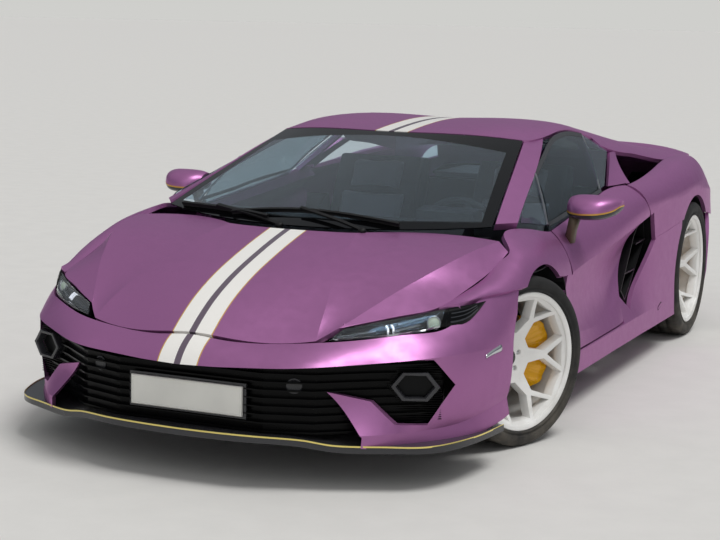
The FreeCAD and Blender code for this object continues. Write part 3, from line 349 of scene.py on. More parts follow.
@dataclass(frozen=True)
class Glass(Finish):
    """Tinted safety glass.

    Attributes:
        passing: Share of light that goes through.
        sky: Tint of the mirror image in the glass.
    """

    passing: float = 0.97
    sky: str = "#5f86ad"

    def dress(self, tree: Tree, shader: bpy.types.Node, place: Socket) -> None:
        """Let light through a thin pane, which mirrors less than solid glass.

        Args:
            tree: Node tree of the material.
            shader: Its principled shader.
            place: Coordinates in the car's frame.
        """
        shader.inputs["Transmission Weight"].default_value = self.passing
        shader.inputs["IOR"].default_value = 1.3
        shader.inputs["Specular Tint"].default_value = linear(self.sky)


@dataclass(frozen=True)
class BorderedGlass(Glass):
    """Windscreen glass with the black ceramic band baked on its edge.

    Attributes:
        side_band: Where the band starts and ends on the sloped side coordinate.
        lean: How much the side edge draws in per metre of height.
        waist: Height at which the side band is measured.
        foot: Height of the band's upper edge along the cowl.
        head: Height of the band's lower edge along the roof.
        bow: How much that lower edge falls per square metre of offset.
        ceramic: Colour of the band.
    """

    side_band: tuple[float, float] = (0.707, 0.768)
    lean: float = 0.524
    waist: float = 0.852
    foot: float = 0.866
    head: float = 1.152
    bow: float = 0.15
    ceramic: str = "#050506"

    def dress(self, tree: Tree, shader: bpy.types.Node, place: Socket) -> None:
        """Let light through inside the band only.

        Args:
            tree: Node tree of the material.
            shader: Its principled shader.
            place: Coordinates in the car's frame.
        """
        super().dress(tree, shader, place)
        split = add_node(tree, "SeparateXYZ", {0: place}).node.outputs
        values = {"x": split[0], "z": split[2]}
        shift = self.lean * self.waist
        steps = (("wide", "ABSOLUTE", "x", 0.0), ("leant", "MULTIPLY", "z", self.lean),
                 ("side", "ADD", "wide", "leant"),
                 ("beyond", "GREATER_THAN", "side", self.side_band[0] + shift),
                 ("within", "LESS_THAN", "side", self.side_band[1] + shift),
                 ("flank", "MULTIPLY", "beyond", "within"),
                 ("below", "LESS_THAN", "z", self.foot),
                 ("low", "MULTIPLY", "within", "below"),
                 ("square", "MULTIPLY", "wide", "wide"),
                 ("fall", "MULTIPLY", "square", self.bow),
                 ("raised", "ADD", "z", "fall"),
                 ("above", "GREATER_THAN", "raised", self.head),
                 ("crown", "MULTIPLY", "within", "above"),
                 ("edges", "MAXIMUM", "flank", "low"),
                 ("band", "MAXIMUM", "edges", "crown"),
                 ("dark", "MULTIPLY", "band", -self.passing),
                 ("open", "ADD", "dark", self.passing))
        for name, operation, first, second in steps:
            second = values[second] if isinstance(second, str) else second
            values[name] = add_node(tree, "Math", {0: values[first], 1: second},
                                    operation=operation)
        tree.links.new(values["open"], shader.inputs["Transmission Weight"])
        colour = add_node(tree, "Mix", {0: values["band"], 6: linear(self.colour),
                                        7: linear(self.ceramic)}, 2, data_type="RGBA")
        tree.links.new(colour, shader.inputs["Base Color"])


# What each surface of the real car is made of.
# Body: violet metallic paint under a satin clear coat, so it glitters but mirrors nothing.
PAINT = SatinPaint("satin_paint", "#a66b9e", 0.4, metallic=0.7, coat=0.22, coat_roughness=0.3,
                   grain=900.0, depth=0.00002, dusty=0.12)
STRIPED = SatinPaint("striped_paint", "#a66b9e", 0.4, metallic=0.7, coat=0.22,
                     coat_roughness=0.3, grain=900.0, depth=0.00002, striped=True)
# Splitter, diffuser, engine lid: gloss black moulded plastic.
BLACK_GLOSS = Finish("black_gloss", "#060608", 0.16, coat=0.08, grain=40.0, depth=0.00002,
                     dusty=0.05, specular=0.3)
# Grille, cowl, ducts, liners: grained black plastic.
BLACK_PLASTIC = Finish("black_plastic", "#08080a", 0.5, grain=1400.0, depth=0.0001, dusty=0.1,
                       specular=0.25)
# Grille and intakes: black plastic with a finer, darker skin.
GRILLE_BLACK = Finish("grille_black", "#030304", 0.3, grain=900.0, depth=0.00004,
                      specular=0.12)
# Side and rear windows: dark tinted glass, float made and polished.
DARK_GLASS = Glass("dark_glass", "#9db1ba", 0.0)
# Windscreen: laminated glass with a blue tint.
SCREEN_GLASS = BorderedGlass("screen_glass", "#d3e4ee", 0.0)
# Lamp and marker lenses: clear moulded polycarbonate with a hard coat.
LENS = Glass("clear_lens", "#eef2f4", 0.0)
# Tail lenses: red moulded acrylic.
RED_LENS = Glass("red_lens", "#d8343a", 0.03, coat=0.3, passing=0.75, sky="#ffb0b0")
# Tail light guides: frosted red acrylic, lit.
RED_GUIDE = Finish("red_guide", "#e0141c", 0.35, emission=0.55)
# Wheels: white powder coat.
WHEEL_WHITE = Finish("wheel_white", "#f3f2ef", 0.3, coat=0.35, grain=700.0, depth=0.00003,
                     dusty=0.35)
# Calipers: yellow enamel.
CALIPER_YELLOW = Finish("caliper_yellow", "#efae0c", 0.28, coat=0.4, grain=300.0, depth=0.00006)
# Discs: turned iron with cross-hatched wear.
DISC_IRON = Finish("disc_iron", "#8d8c8a", 0.32, metallic=1.0, grain=2200.0, depth=0.00004)
# Knuckles, arms, frames: sand-cast aluminium.
CAST_ALLOY = Finish("cast_alloy", "#8a8a8c", 0.5, metallic=0.85, grain=500.0, depth=0.00015,
                    dusty=0.5)
# Exhaust: blackened steel.
EXHAUST_STEEL = Finish("exhaust_steel", "#4a4542", 0.35, metallic=1.0, grain=260.0, depth=0.00005)
# Tyre sidewalls and tread: moulded rubber.
RUBBER = Finish("rubber", "#161616", 0.72, grain=900.0, depth=0.00012, dusty=0.35, tone=0.2)
# Seats and wheel rim: grey microfibre.
MICROFIBRE = Finish("microfibre", "#a5a4a8", 0.9, sheen=0.6, grain=2600.0, depth=0.0002)
# Seat shells, dashboard: grained charcoal plastic.
SHELL_TRIM = Finish("shell_trim", "#2b2b2f", 0.5, grain=1500.0, depth=0.0001)
# Number plate: reflective film on pressed aluminium, left blank.
PLATE_FILM = Finish("plate_film", "#e4e3dc", 0.35, coat=0.3, grain=2000.0, depth=0.00002)
# Lamp insides: black moulded plastic, metallised reflectors, frosted white light guides,
# satin grey blades, and a clear moulded projector eye, whose faint pale glow is a painted glint.
LAMP_BLACK = Finish("lamp_black", "#060709", 0.35, grain=200.0, depth=0.00002, specular=0.15)
LAMP_CHROME = Finish("lamp_chrome", "#d5d8dc", 0.12, metallic=1.0, grain=80.0, depth=0.00002)
LAMP_WHITE = Finish("lamp_white", "#f4f6ff", 0.4, emission=0.7)
LAMP_SATIN = Finish("lamp_satin", "#3c3f45", 0.35, metallic=0.6, grain=200.0, depth=0.00002)
# Projector eye: its emission is a painted glint, a faint grey-green glow in place of a reflection, not lamp
# light.
EYE_GLASS_PAINTED_GLINT = Finish("eye_glass", "#c9d8c4", 0.05, coat=0.5, emission=0.25)
# Window bars: satin anodised aluminium.
FRAME_SILVER = Finish("frame_silver", "#a5a8ab", 0.35, metallic=0.9, grain=900.0, depth=0.00002)
# Pinstripes: gold and yellow vinyl film.
GOLD = Finish("gold_film", "#d3a245", 0.35, metallic=0.5)
YELLOW = Finish("yellow_film", "#ecd879", 0.35)
# Mirror stalks: bronze anodised aluminium.
BRONZE = Finish("bronze_trim", "#58493a", 0.4, metallic=0.4, grain=500.0, depth=0.00003)
# Floor: smooth matt studio floor.
FLOOR = Finish("studio_floor", "#d9d7d3", 0.75, tone=0.03, grain=60.0, depth=0.0003)


NODE_FINISHES: dict[str, Finish] = {
    "front_bumper": STRIPED, "hood": STRIPED, "cabin_frame": STRIPED, "tail_spoiler": PAINT,
    "front_fenders": PAINT, "door_left": PAINT, "door_right": PAINT, "mirror_left": PAINT,
    "mirror_right": PAINT, "body_sides": PAINT, "rear_quarters": PAINT, "rear_bumper": PAINT,
    "front_splitter": BLACK_GLOSS, "diffuser": BLACK_GLOSS, "engine_cover": BLACK_GLOSS,
    "front_grille": GRILLE_BLACK, "cowl": BLACK_PLASTIC, "side_ducts": BLACK_PLASTIC,
    "wheel_liners": BLACK_PLASTIC, "front_trunk": BLACK_PLASTIC, "floor_tub": BLACK_PLASTIC,
    "dashboard": SHELL_TRIM, "steering_wheel": SHELL_TRIM, "seats": MICROFIBRE,
    "number_plate": PLATE_FILM, "headlamps": LAMP_BLACK, "tail_lamps": LAMP_BLACK,
    "fixed_glass": SCREEN_GLASS, "door_glass_left": DARK_GLASS, "door_glass_right": DARK_GLASS,
    "subframes": CAST_ALLOY, "suspension": CAST_ALLOY, "knuckle_left": CAST_ALLOY,
    "knuckle_right": CAST_ALLOY, "engine_block": CAST_ALLOY, "exhaust": EXHAUST_STEEL,
    "rear_calipers": CALIPER_YELLOW, "caliper_left": CALIPER_YELLOW,
    "caliper_right": CALIPER_YELLOW,
}


# Mesh building
Point = tuple[float, float, float]


def piece(name: str, points: list, faces: list, finish: Finish, body: str,
          smooth: bool = True) -> bpy.types.Object:
    """Make one piece of the scene from a mesh and let it ride.

    Args:
        name: Object name.
        points: Corner points in the car's frame, in metres.
        faces: Corner numbers of each face.
        finish: Its finish.
        body: Name of the body that it rides on.
        smooth: Whether its faces are shaded smooth.

    Returns:
        The new object.
    """
    mesh = bpy.data.meshes.new(name)
    mesh.from_pydata([tuple(p) for p in points], [], faces)
    mesh.validate()
    tidy = bmesh.new()
    tidy.from_mesh(mesh)
    bmesh.ops.recalc_face_normals(tidy, faces=tidy.faces)
    tidy.to_mesh(mesh)
    tidy.free()
    for face in mesh.polygons:
        face.use_smooth = smooth
    mesh.materials.append(finish.material())
    made = bpy.data.objects.new(name, mesh)
    bpy.context.scene.collection.objects.link(made)
    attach(made, body)
    return made


def grid_faces(rows: int, columns: int, around: bool = False, start: int = 0) -> list:
    """Faces of a grid of points.

    Args:
        rows: Number of rows of points.
        columns: Number of points in a row.
        around: Whether each row closes on itself.
        start: Number of the first point.

    Returns:
        Corner numbers of each face.
    """
    faces = []
    last = columns if around else columns - 1
    for i in range(rows - 1):
        for j in range(last):
            k = (j + 1) % columns
            corners = (i * columns + j, i * columns + k, (i + 1) * columns + k,
                       (i + 1) * columns + j)
            faces.append(tuple(start + c for c in corners))
    return faces


def ring_points(centre: Vector, axis: Vector, radius: float, offset: float, count: int) -> list:
    """Points of a circle around an axis.

    Args:
        centre: A point on the axis.
        axis: Unit direction.
        radius: Radius of the circle.
        offset: How far along the axis the circle lies.
        count: Number of points.

    Returns:
        The points.
    """
    up = Vector((0, 0, 1)) if abs(axis.z) < 0.9 else Vector((1, 0, 0))
    first = (up - axis * up.dot(axis)).normalized()
    second = axis.cross(first)
    turned = []
    for k in range(count):
        angle = 2 * math.pi * k / count
        turned.append(centre + axis * offset + first * (radius * math.cos(angle))
                      + second * (radius * math.sin(angle)))
    return turned


def turned_piece(name: str, centre: Vector, axis: Vector, profile: list, count: int,
                 finish: Finish, body: str) -> bpy.types.Object:
    """A piece turned about an axis from a closed profile.

    Args:
        name: Object name.
        centre: A point on the axis.
        axis: Unit direction.
        profile: Pairs of offset along the axis and radius.
        count: Steps around.
        finish: Its finish.
        body: Name of its body.

    Returns:
        The new object.
    """
    points = []
    for offset, radius in profile:
        points += ring_points(centre, axis, radius, offset, count)
    faces = grid_faces(len(profile), count, around=True)
    if profile[0][1] > 1e-6 and profile[-1] != profile[0]:
        faces.append(tuple(range(count)))
        faces.append(tuple(range(len(points) - count, len(points))))
    return piece(name, points, faces, finish, body)


def ribbon(name: str, path: list, across: Vector, half: float, thickness: float, lift: Vector,
           finish: Finish, body: str, slot: str) -> bpy.types.Object:
    """A thin strip along a path.

    Args:
        name: Object name.
        path: Points of its middle line.
        across: Direction of its width.
        half: Half of its width.
        thickness: Its thickness.
        lift: Unit direction of its thickness.
        finish: Its finish.
        body: Name of its body.
        slot: Name of the record's material slot; not used.

    Returns:
        The new object.
    """
    points = []
    for p in path:
        middle = Vector(p)
        for side, depth in ((-1, 0), (1, 0), (1, 1), (-1, 1)):
            points.append(middle + across * (half * side) + lift * (thickness * depth))
    faces = grid_faces(len(path), 4, around=True)
    faces.append((0, 1, 2, 3))
    end = len(points) - 4
    faces.append((end, end + 1, end + 2, end + 3))
    return piece(name, points, faces, finish, body, smooth=False)


def smooth_path(points: list, steps: int) -> list:
    """Points along a smooth line through the given points.

    Args:
        points: Points that the line passes.
        steps: Steps between two of them.

    Returns:
        The finer points.
    """
    line = []
    for k in range(len(points) - 1):
        before = Vector(points[max(k - 1, 0)])
        a = Vector(points[k])
        b = Vector(points[k + 1])
        after = Vector(points[min(k + 2, len(points) - 1)])
        for s in range(steps):
            t = s / steps
            line.append(0.5 * (2 * a + (b - before) * t
                               + (2 * before - 5 * a + 4 * b - after) * t * t
                               + (3 * a - before - 3 * b + after) * t ** 3))
    line.append(Vector(points[-1]))
    return line


def slab(name: str, rows: list, thickness: float, toward: Vector, finish: Finish, body: str) -> bpy.types.Object:
    """A closed sheet of even thickness over a grid of points.

    Args:
        name: Object name.
        rows: Rows of points, all of one length.
        thickness: Thickness of the sheet.
        toward: Direction in which the thickness goes.
        finish: Its finish.
        body: Name of its body.

    Returns:
        The new object.
    """
    count = len(rows)
    width = len(rows[0])
    top = [Vector(p) for row in rows for p in row]
    points = top + [p + toward * thickness for p in top]
    faces = grid_faces(count, width)
    faces += [tuple(reversed(f)) for f in grid_faces(count, width, start=len(top))]
    rim = [k for k in range(width)]
    rim += [r * width + width - 1 for r in range(1, count)]
    rim += [(count - 1) * width + k for k in range(width - 2, -1, -1)]
    rim += [r * width for r in range(count - 2, 0, -1)]
    for k, a in enumerate(rim):
        b = rim[(k + 1) % len(rim)]
        faces.append((a, b, b + len(top), a + len(top)))
    return piece(name, points, faces, finish, body)


def extruded(name: str, outline: list, depth: Vector, finish: Finish, body: str) -> bpy.types.Object:
    """A closed outline pushed along a direction.

    Args:
        name: Object name.
        outline: Corner points in order.
        depth: Direction and length of the push.
        finish: Its finish.
        body: Name of its body.

    Returns:
        The new object.
    """
    count = len(outline)
    points = [Vector(p) for p in outline] + [Vector(p) + depth for p in outline]
    faces = [tuple(range(count)), tuple(range(2 * count - 1, count - 1, -1))]
    for k in range(count):
        n = (k + 1) % count
        faces.append((k, n, n + count, k + count))
    return piece(name, points, faces, finish, body, smooth=False)


def softened(made: bpy.types.Object, width: float, segments: int = 2) -> bpy.types.Object:
    """Round the sharp edges of a piece and apply it.

    Args:
        made: The piece.
        width: Width of the rounding.
        segments: Faces across the rounding.

    Returns:
        The same piece.
    """
    rounding = made.modifiers.new("rounding", "BEVEL")
    rounding.width = width
    rounding.segments = segments
    rounding.limit_method = "ANGLE"
    rounding.angle_limit = math.radians(35)
    apply_modifiers(made)
    return made


def apply_modifiers(made: bpy.types.Object) -> None:
    """Put the modified shape into the piece's mesh.

    Args:
        made: The piece.
    """
    seen = made.evaluated_get(bpy.context.evaluated_depsgraph_get())
    shaped = bpy.data.meshes.new_from_object(seen)
    made.modifiers.clear()
    made.data = shaped


class Skin:
    """The outer surface of some CAD nodes, on which pieces are laid."""

    def __init__(self, nodes: dict, names: tuple[str, ...]) -> None:
        """Gather the surface.

        Args:
            nodes: The frame's node objects by name.
            names: Names of the nodes that carry the pieces.
        """
        points: list = []
        faces: list = []
        for name in names:
            shape = nodes[name]
            start = len(points)
            points += [shape.matrix_world @ v.co for v in shape.data.vertices]
            faces += [tuple(start + k for k in f.vertices) for f in shape.data.polygons]
        self.tree = BVHTree.FromPolygons(points, faces)

    def meet(self, point: Point, toward: Vector, reach: float = 0.08) -> tuple[Vector, Vector]:
        """Find where a line through a point enters the surface.

        Args:
            point: A point near the surface.
            toward: Unit direction into the car.
            reach: How far before and after the point the line goes.

        Returns:
            The surface point and its outward normal, or the given point where nothing is met.
        """
        start = Vector(point) - toward * reach
        at, normal, _, _ = self.tree.ray_cast(start, toward, 2 * reach)
        if at is None:
            return Vector(point), -toward
        return at, (normal if normal.dot(toward) < 0 else -normal)

    def laid(self, path: list, toward: Vector, lift: float, reach: float = 0.08) -> list:
        """Lay a path on the surface.

        Args:
            path: Points near the surface.
            toward: Unit direction into the car.
            lift: Height above the surface.
            reach: How far each point may move.

        Returns:
            The points on the surface, lifted against the direction.
        """
        return [self.meet(p, toward, reach)[0] - toward * lift for p in path]


@dataclass
class CarBody:
    """The CAD nodes with their finishes.

    Attributes:
        finishes: Finish of each node that isn't a tyre, rim or disc.
    """

    finishes: dict[str, Finish] = field(default_factory=lambda: dict(NODE_FINISHES))

    def build(self, nodes: dict) -> None:
        """Give every CAD node its finish.

        Args:
            nodes: The frame's node objects by name.
        """
        for name, shape in nodes.items():
            if name.startswith("tyre"):
                finish = RUBBER
            elif name.startswith("rim"):
                finish = WHEEL_WHITE
            elif name.startswith("disc"):
                finish = DISC_IRON
            else:
                finish = self.finishes[name]
            made = finish.material()
            shape.data.materials.clear()
            shape.data.materials.append(made)
        log.info("finished %d nodes", len(nodes))


@dataclass
class Wheel:
    """Tyre with its tread and sidewalls, cast rim, wheel bolts, blank cap and caliper.

    Attributes:
        corner: Name part such as "front_left".
        body: Body of the wheel.
        centre: Wheel centre.
        outward: Unit direction of its axle away from the car.
        width: Tyre width.
        radius: Tyre radius.
        rim_radius: Rim flange radius.
        carrier: Body that the caliper rides on.
        replaced: CAD node that the caliper stands for.
        steps: Steps around the tyre.
        groove_depth: Depth of the tread grooves.
        cut_pitch: Steps from one slanting tread cut to the next.
        bolt_circle: Radius on which the bolts stand.
        cap_radius: Radius of the centre cap.
        hole_radius: Radius of a bolt hole.
        hub_radius: Radius of the hub disc.
        face: Offset of the hub face from the wheel's middle plane.
        spokes: Number of windows, and of forks between them.
        bolts: Number of wheel bolts.
        rim_steps: Steps around the rim.
        face_steps: Steps from the barrel to the hub along the dished face.
        caliper_angle: Angle of the caliper's middle from straight up, to the rear.
        caliper_reach: Angle from its middle to its end.
        pocket: Window between two forks: share of the barrel's inside radius, and angle.
        fork: Window inside a fork, in the same way.
        flare: Offset and scale of the windows' tool at its inner and outer end.
        caliper_section: Offset along the axle and radius, round a slot for the disc.
    """

    corner: str
    body: str
    centre: Vector
    outward: Vector
    width: float
    radius: float
    rim_radius: float
    carrier: str = "chassis"
    replaced: str = ""
    steps: int = 288
    groove_depth: float = 0.007
    cut_pitch: int = 12
    bolt_circle: float = 0.056
    cap_radius: float = 0.033
    hole_radius: float = 0.0115
    hub_radius: float = 0.088
    face: float = 0.024
    spokes: int = 6
    rim_steps: int = 180
    face_steps: int = 8
    caliper_angle: float = 90.0
    caliper_reach: float = 42.0
    pocket: tuple = ((0.40, -14), (0.40, 14), (0.66, 24.5), (0.955, 12.5), (0.955, -12.5),
                     (0.66, -24.5))
    fork: tuple = ((0.71, 30), (0.955, 17.5), (0.955, 42.5))
    bolts: int = 5
    flare: tuple = ((-0.060, 0.9), (0.240, 1.14))
    caliper_section: tuple = ((-0.112, 0.130), (-0.112, 0.236), (0.030, 0.238), (0.026, 0.206),
                              (-0.006, 0.146), (-0.012, 0.132), (-0.052, 0.132), (-0.052, 0.206),
                              (-0.098, 0.206), (-0.098, 0.130))

    def profile(self) -> list[tuple[float, float, bool]]:
        """Cross-section of the tyre.

        Returns:
            Offset along the axle, radius and whether the point lies on a tread block.
        """
        half = self.width / 2
        low = self.rim_radius
        tall = self.radius - low
        side = [(half - 0.012, low + 0.001), (half - 0.004, low + 0.004),
                (half - 0.003, low + 0.01), (half - 0.0075, low + 0.0125),
                (half - 0.002, low + tall * 0.3), (half, low + tall * 0.48),
                (half - 0.002, low + tall * 0.68), (half - 0.009, low + tall * 0.86),
                (half - 0.018, low + tall * 0.955)]
        section = [(x, r, False) for x, r in side]
        edge = half - 0.026
        ribs = 5
        groove = 0.008
        step = 2 * edge / ribs
        for k in range(ribs):
            start = edge - k * step
            end = start - step
            crown = [self.radius - 0.0015 * (x / edge) ** 2 for x in (start, end)]
            section += [(start, crown[0], True), (start - (step - groove) * 0.5, crown[0], True),
                        (end + groove, crown[1], True)]
            if k < ribs - 1:
                section += [(end + groove - 0.0008, self.radius - self.groove_depth, False),
                            (end + 0.0008, self.radius - self.groove_depth, False)]
        inner = [(-x, r, False) for x, r in reversed(side)]
        return section + inner + [(-half + 0.03, low - 0.008, False),
                                     (half - 0.03, low - 0.008, False)]

    def build_tyre(self) -> None:
        """Make the tyre with slanting tread cuts and hide the plain CAD one."""
        section = self.profile()
        points = []
        for offset, radius, tread in section:
            circle = ring_points(self.centre, self.outward, 1.0, 0.0, self.steps)
            for j, p in enumerate(circle):
                depth = 0.0
                if tread:
                    slant = int(round(abs(offset) * 220))
                    if (j + slant) % self.cut_pitch == 0:
                        depth = self.groove_depth * 0.8
                spoke = (p - self.centre).normalized()
                points.append(self.centre + self.outward * offset + spoke * (radius - depth))
        faces = grid_faces(len(section), self.steps, around=True)
        last = (len(section) - 1) * self.steps
        for j in range(self.steps):
            n = (j + 1) % self.steps
            faces.append((last + j, last + n, n, j))
        made = piece(f"tyre_tread_{self.corner}", points, faces, RUBBER, self.body)
        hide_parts(f"tyre_{self.corner}")

    def at(self, offset: float, radius: float, degrees: float) -> Vector:
        """A point in the wheel's own frame.

        Args:
            offset: Distance outward along the axle.
            radius: Distance from the axle.
            degrees: Angle from straight up, growing towards the rear.

        Returns:
            The point in the car's frame.
        """
        angle = math.radians(degrees)
        rear = Vector((0, 0, 1)).cross(self.outward)
        rear = rear if rear.y > 0 else -rear
        spoke = Vector((0, 0, 1)) * math.cos(angle) + rear * math.sin(angle)
        return self.centre + self.outward * offset + spoke * radius

    def build_rim(self) -> None:
        """Make the forked-spoke rim with flared windows and rounded edges."""
        half = self.width / 2 - 0.010
        outer = self.rim_radius
        bead = outer - 0.012
        inside = bead - 0.009
        section = [(-half, inside), (-half, outer), (-half + 0.012, outer), (-half + 0.02, bead),
                   (half - 0.02, bead), (half - 0.012, outer), (half - 0.002, outer),
                   (half, outer - 0.002), (half, outer - 0.008), (half - 0.006, inside),
                   (half - 0.012, inside - 0.001)]
        hub = self.hub_radius
        for k in range(self.face_steps + 1):
            t = k / self.face_steps
            radius = inside + (hub - 0.016 - inside) * t
            rise = (1 - t) ** 1.35
            section.append((0.030 + (half - 0.014 - 0.030) * rise, radius))
        section += [(0.026, 0.052), (0.022, 0.040), (0.022, 0.0001), (-0.022, 0.0001),
                    (-0.022, hub), (half - 0.055, inside - 0.002), (half - 0.06, inside)]
        section.append(section[0])
        made = turned_piece(f"rim_spokes_{self.corner}", self.centre, self.outward, section,
                            self.rim_steps, WHEEL_WHITE, self.body)
        self.cut_windows(made, inside)
        softened(made, 0.0028)
        for face in made.data.polygons:
            face.use_smooth = True
        made.data.set_sharp_from_angle(angle=math.radians(32))
        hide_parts(f"rim_{self.corner}")

    def cut_windows(self, made: bpy.types.Object, inside: float) -> None:
        """Cut the windows between the spokes.

        Args:
            made: The turned rim.
            inside: Inside radius of the barrel.
        """
        points: list = []
        faces: list = []
        for k in range(self.spokes):
            turn = 360.0 * k / self.spokes
            for window in (self.pocket, self.fork):
                ring = [(share * inside, turn + angle) for share, angle in window]
                count = len(ring)
                start = len(points)
                for offset, flare in self.flare:
                    corners = [self.at(offset, r, a) for r, a in ring]
                    middle = sum(corners, Vector()) / count
                    points += [middle + (p - middle) * flare for p in corners]
                faces.append(tuple(start + n for n in range(count)))
                faces.append(tuple(start + count + n for n in range(count - 1, -1, -1)))
                for n in range(count):
                    m = (n + 1) % count
                    faces.append((start + n, start + m, start + count + m, start + count + n))
        for k in range(self.bolts):
            points, faces = self.add_bolt_hole(points, faces, 360.0 * k / self.bolts)
        mesh = bpy.data.meshes.new("windows")
        mesh.from_pydata([tuple(p) for p in points], [], faces)
        tidy = bmesh.new()
        tidy.from_mesh(mesh)
        bmesh.ops.recalc_face_normals(tidy, faces=tidy.faces)
        tidy.to_mesh(mesh)
        tidy.free()
        tool = bpy.data.objects.new("windows", mesh)
        bpy.context.scene.collection.objects.link(tool)
        cut = made.modifiers.new("windows", "BOOLEAN")
        cut.operation = "DIFFERENCE"
        cut.solver = "EXACT"
        cut.object = tool
        apply_modifiers(made)
        bpy.data.objects.remove(tool)

    def add_bolt_hole(self, points: list, faces: list, turn: float) -> tuple[list, list]:
        """Add the tool for one bolt hole.

        Args:
            points: Points of the tools so far.
            faces: Faces of the tools so far.
            turn: Angle of the hole.

        Returns:
            The points and faces with this tool.
        """
        middle = self.at(0.0, self.bolt_circle, turn)
        start = len(points)
        count = 16
        for offset in (0.008, 0.060):
            points = points + ring_points(middle, self.outward, self.hole_radius, offset, count)
        faces = faces + grid_faces(2, count, around=True, start=start)
        faces.append(tuple(start + n for n in range(count)))
        faces.append(tuple(start + count + n for n in range(count - 1, -1, -1)))
        return points, faces

    def build_caliper(self) -> None:
        """Make the brake caliper as a ribbed body over the disc."""
        steps = 26
        points: list = []
        for k in range(steps + 1):
            share = 2 * k / steps - 1
            angle = self.caliper_angle + self.caliper_reach * share
            pull = 0.022 * max(0.0, abs(share) - 0.7) / 0.3
            ridge = 0.004 * math.cos(share * math.pi * 5)
            for offset, radius in self.caliper_section:
                outer = offset > 0
                points.append(self.at(offset - (pull + 0.004 - ridge if outer else 0.0),
                                      radius - (pull if radius > 0.2 else 0.0), angle))
        size = len(self.caliper_section)
        faces = grid_faces(steps + 1, size, around=True)
        faces.append(tuple(range(size)))
        faces.append(tuple(range(len(points) - 1, len(points) - 1 - size, -1)))
        label = self.corner
        made = piece(f"caliper_body_{label}", points, faces, CALIPER_YELLOW, self.carrier,
                     smooth=False)
        softened(made, 0.004)
        if self.replaced:
            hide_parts(self.replaced)

    def build_cap(self) -> None:
        """Make the blank centre cap and the five wheel bolts."""
        face = self.face
        profile = [(face - 0.004, self.cap_radius), (face + 0.004, self.cap_radius - 0.001),
                   (face + 0.0055, self.cap_radius - 0.004), (face + 0.006, 0.00001)]
        turned_piece(f"cap_{self.corner}", self.centre, self.outward, profile, 48, BLACK_GLOSS,
                     self.body)
        for k in range(self.bolts):
            p = self.at(0.0, self.bolt_circle, 360.0 * k / self.bolts)
            head = [(0.012, 0.0068), (0.0195, 0.0068), (0.0205, 0.0058), (0.0205, 0.00001)]
            turned_piece(f"bolt_{self.corner}_{k}", p, self.outward, head, 6, LAMP_CHROME,
                         self.body)

    def build(self) -> None:
        """Make all pieces of this wheel."""
        self.build_tyre()
        self.build_rim()
        self.build_caliper()
        self.build_cap()


@dataclass
class Wheels:
    """The four wheels at their parked angles.

    Attributes:
        steer: Parked steering angle in degrees.
        kingpin: Half distance between the two kingpins.
        front_y: Y of the front axle.
        rear_y: Y of the rear axle.
        front_half_track: Front wheel's distance from the middle plane, straight ahead.
        rear_half_track: Rear wheel's distance from the middle plane.
        front: Width, radius and rim radius of a front tyre.
        rear: The same of a rear tyre.
    """

    steer: float = -22.0
    kingpin: float = 0.748
    front_y: float = -1.168
    rear_y: float = 1.490
    front_half_track: float = 0.861
    rear_half_track: float = 0.835
    front: tuple[float, float, float] = (0.255, 0.3435, 0.279)
    rear: tuple[float, float, float] = (0.325, 0.364, 0.292)

    def build(self) -> None:
        """Make the pieces of all wheels."""
        for side in Side:
            label = side.label
            letter = label[0]
            width, radius, rim = self.front
            turn = Matrix.Rotation(math.radians(self.steer), 3, "Z")
            pin = Vector((side.value * self.kingpin, self.front_y, radius))
            arm = Vector((side.value * (self.front_half_track - self.kingpin), 0, 0))
            outward = turn @ Vector((side.value, 0, 0))
            Wheel(f"front_{label}", f"wheel_f{letter}", pin + turn @ arm, outward, width, radius,
                  rim, carrier=f"upright_{letter}", replaced=f"caliper_{label}").build()
            width, radius, rim = self.rear
            centre = Vector((side.value * self.rear_half_track, self.rear_y, radius))
            Wheel(f"rear_{label}", f"wheel_r{letter}", centre, Vector((side.value, 0, 0)), width,
                  radius, rim, replaced="rear_calipers").build()
        log.info("wheels done")


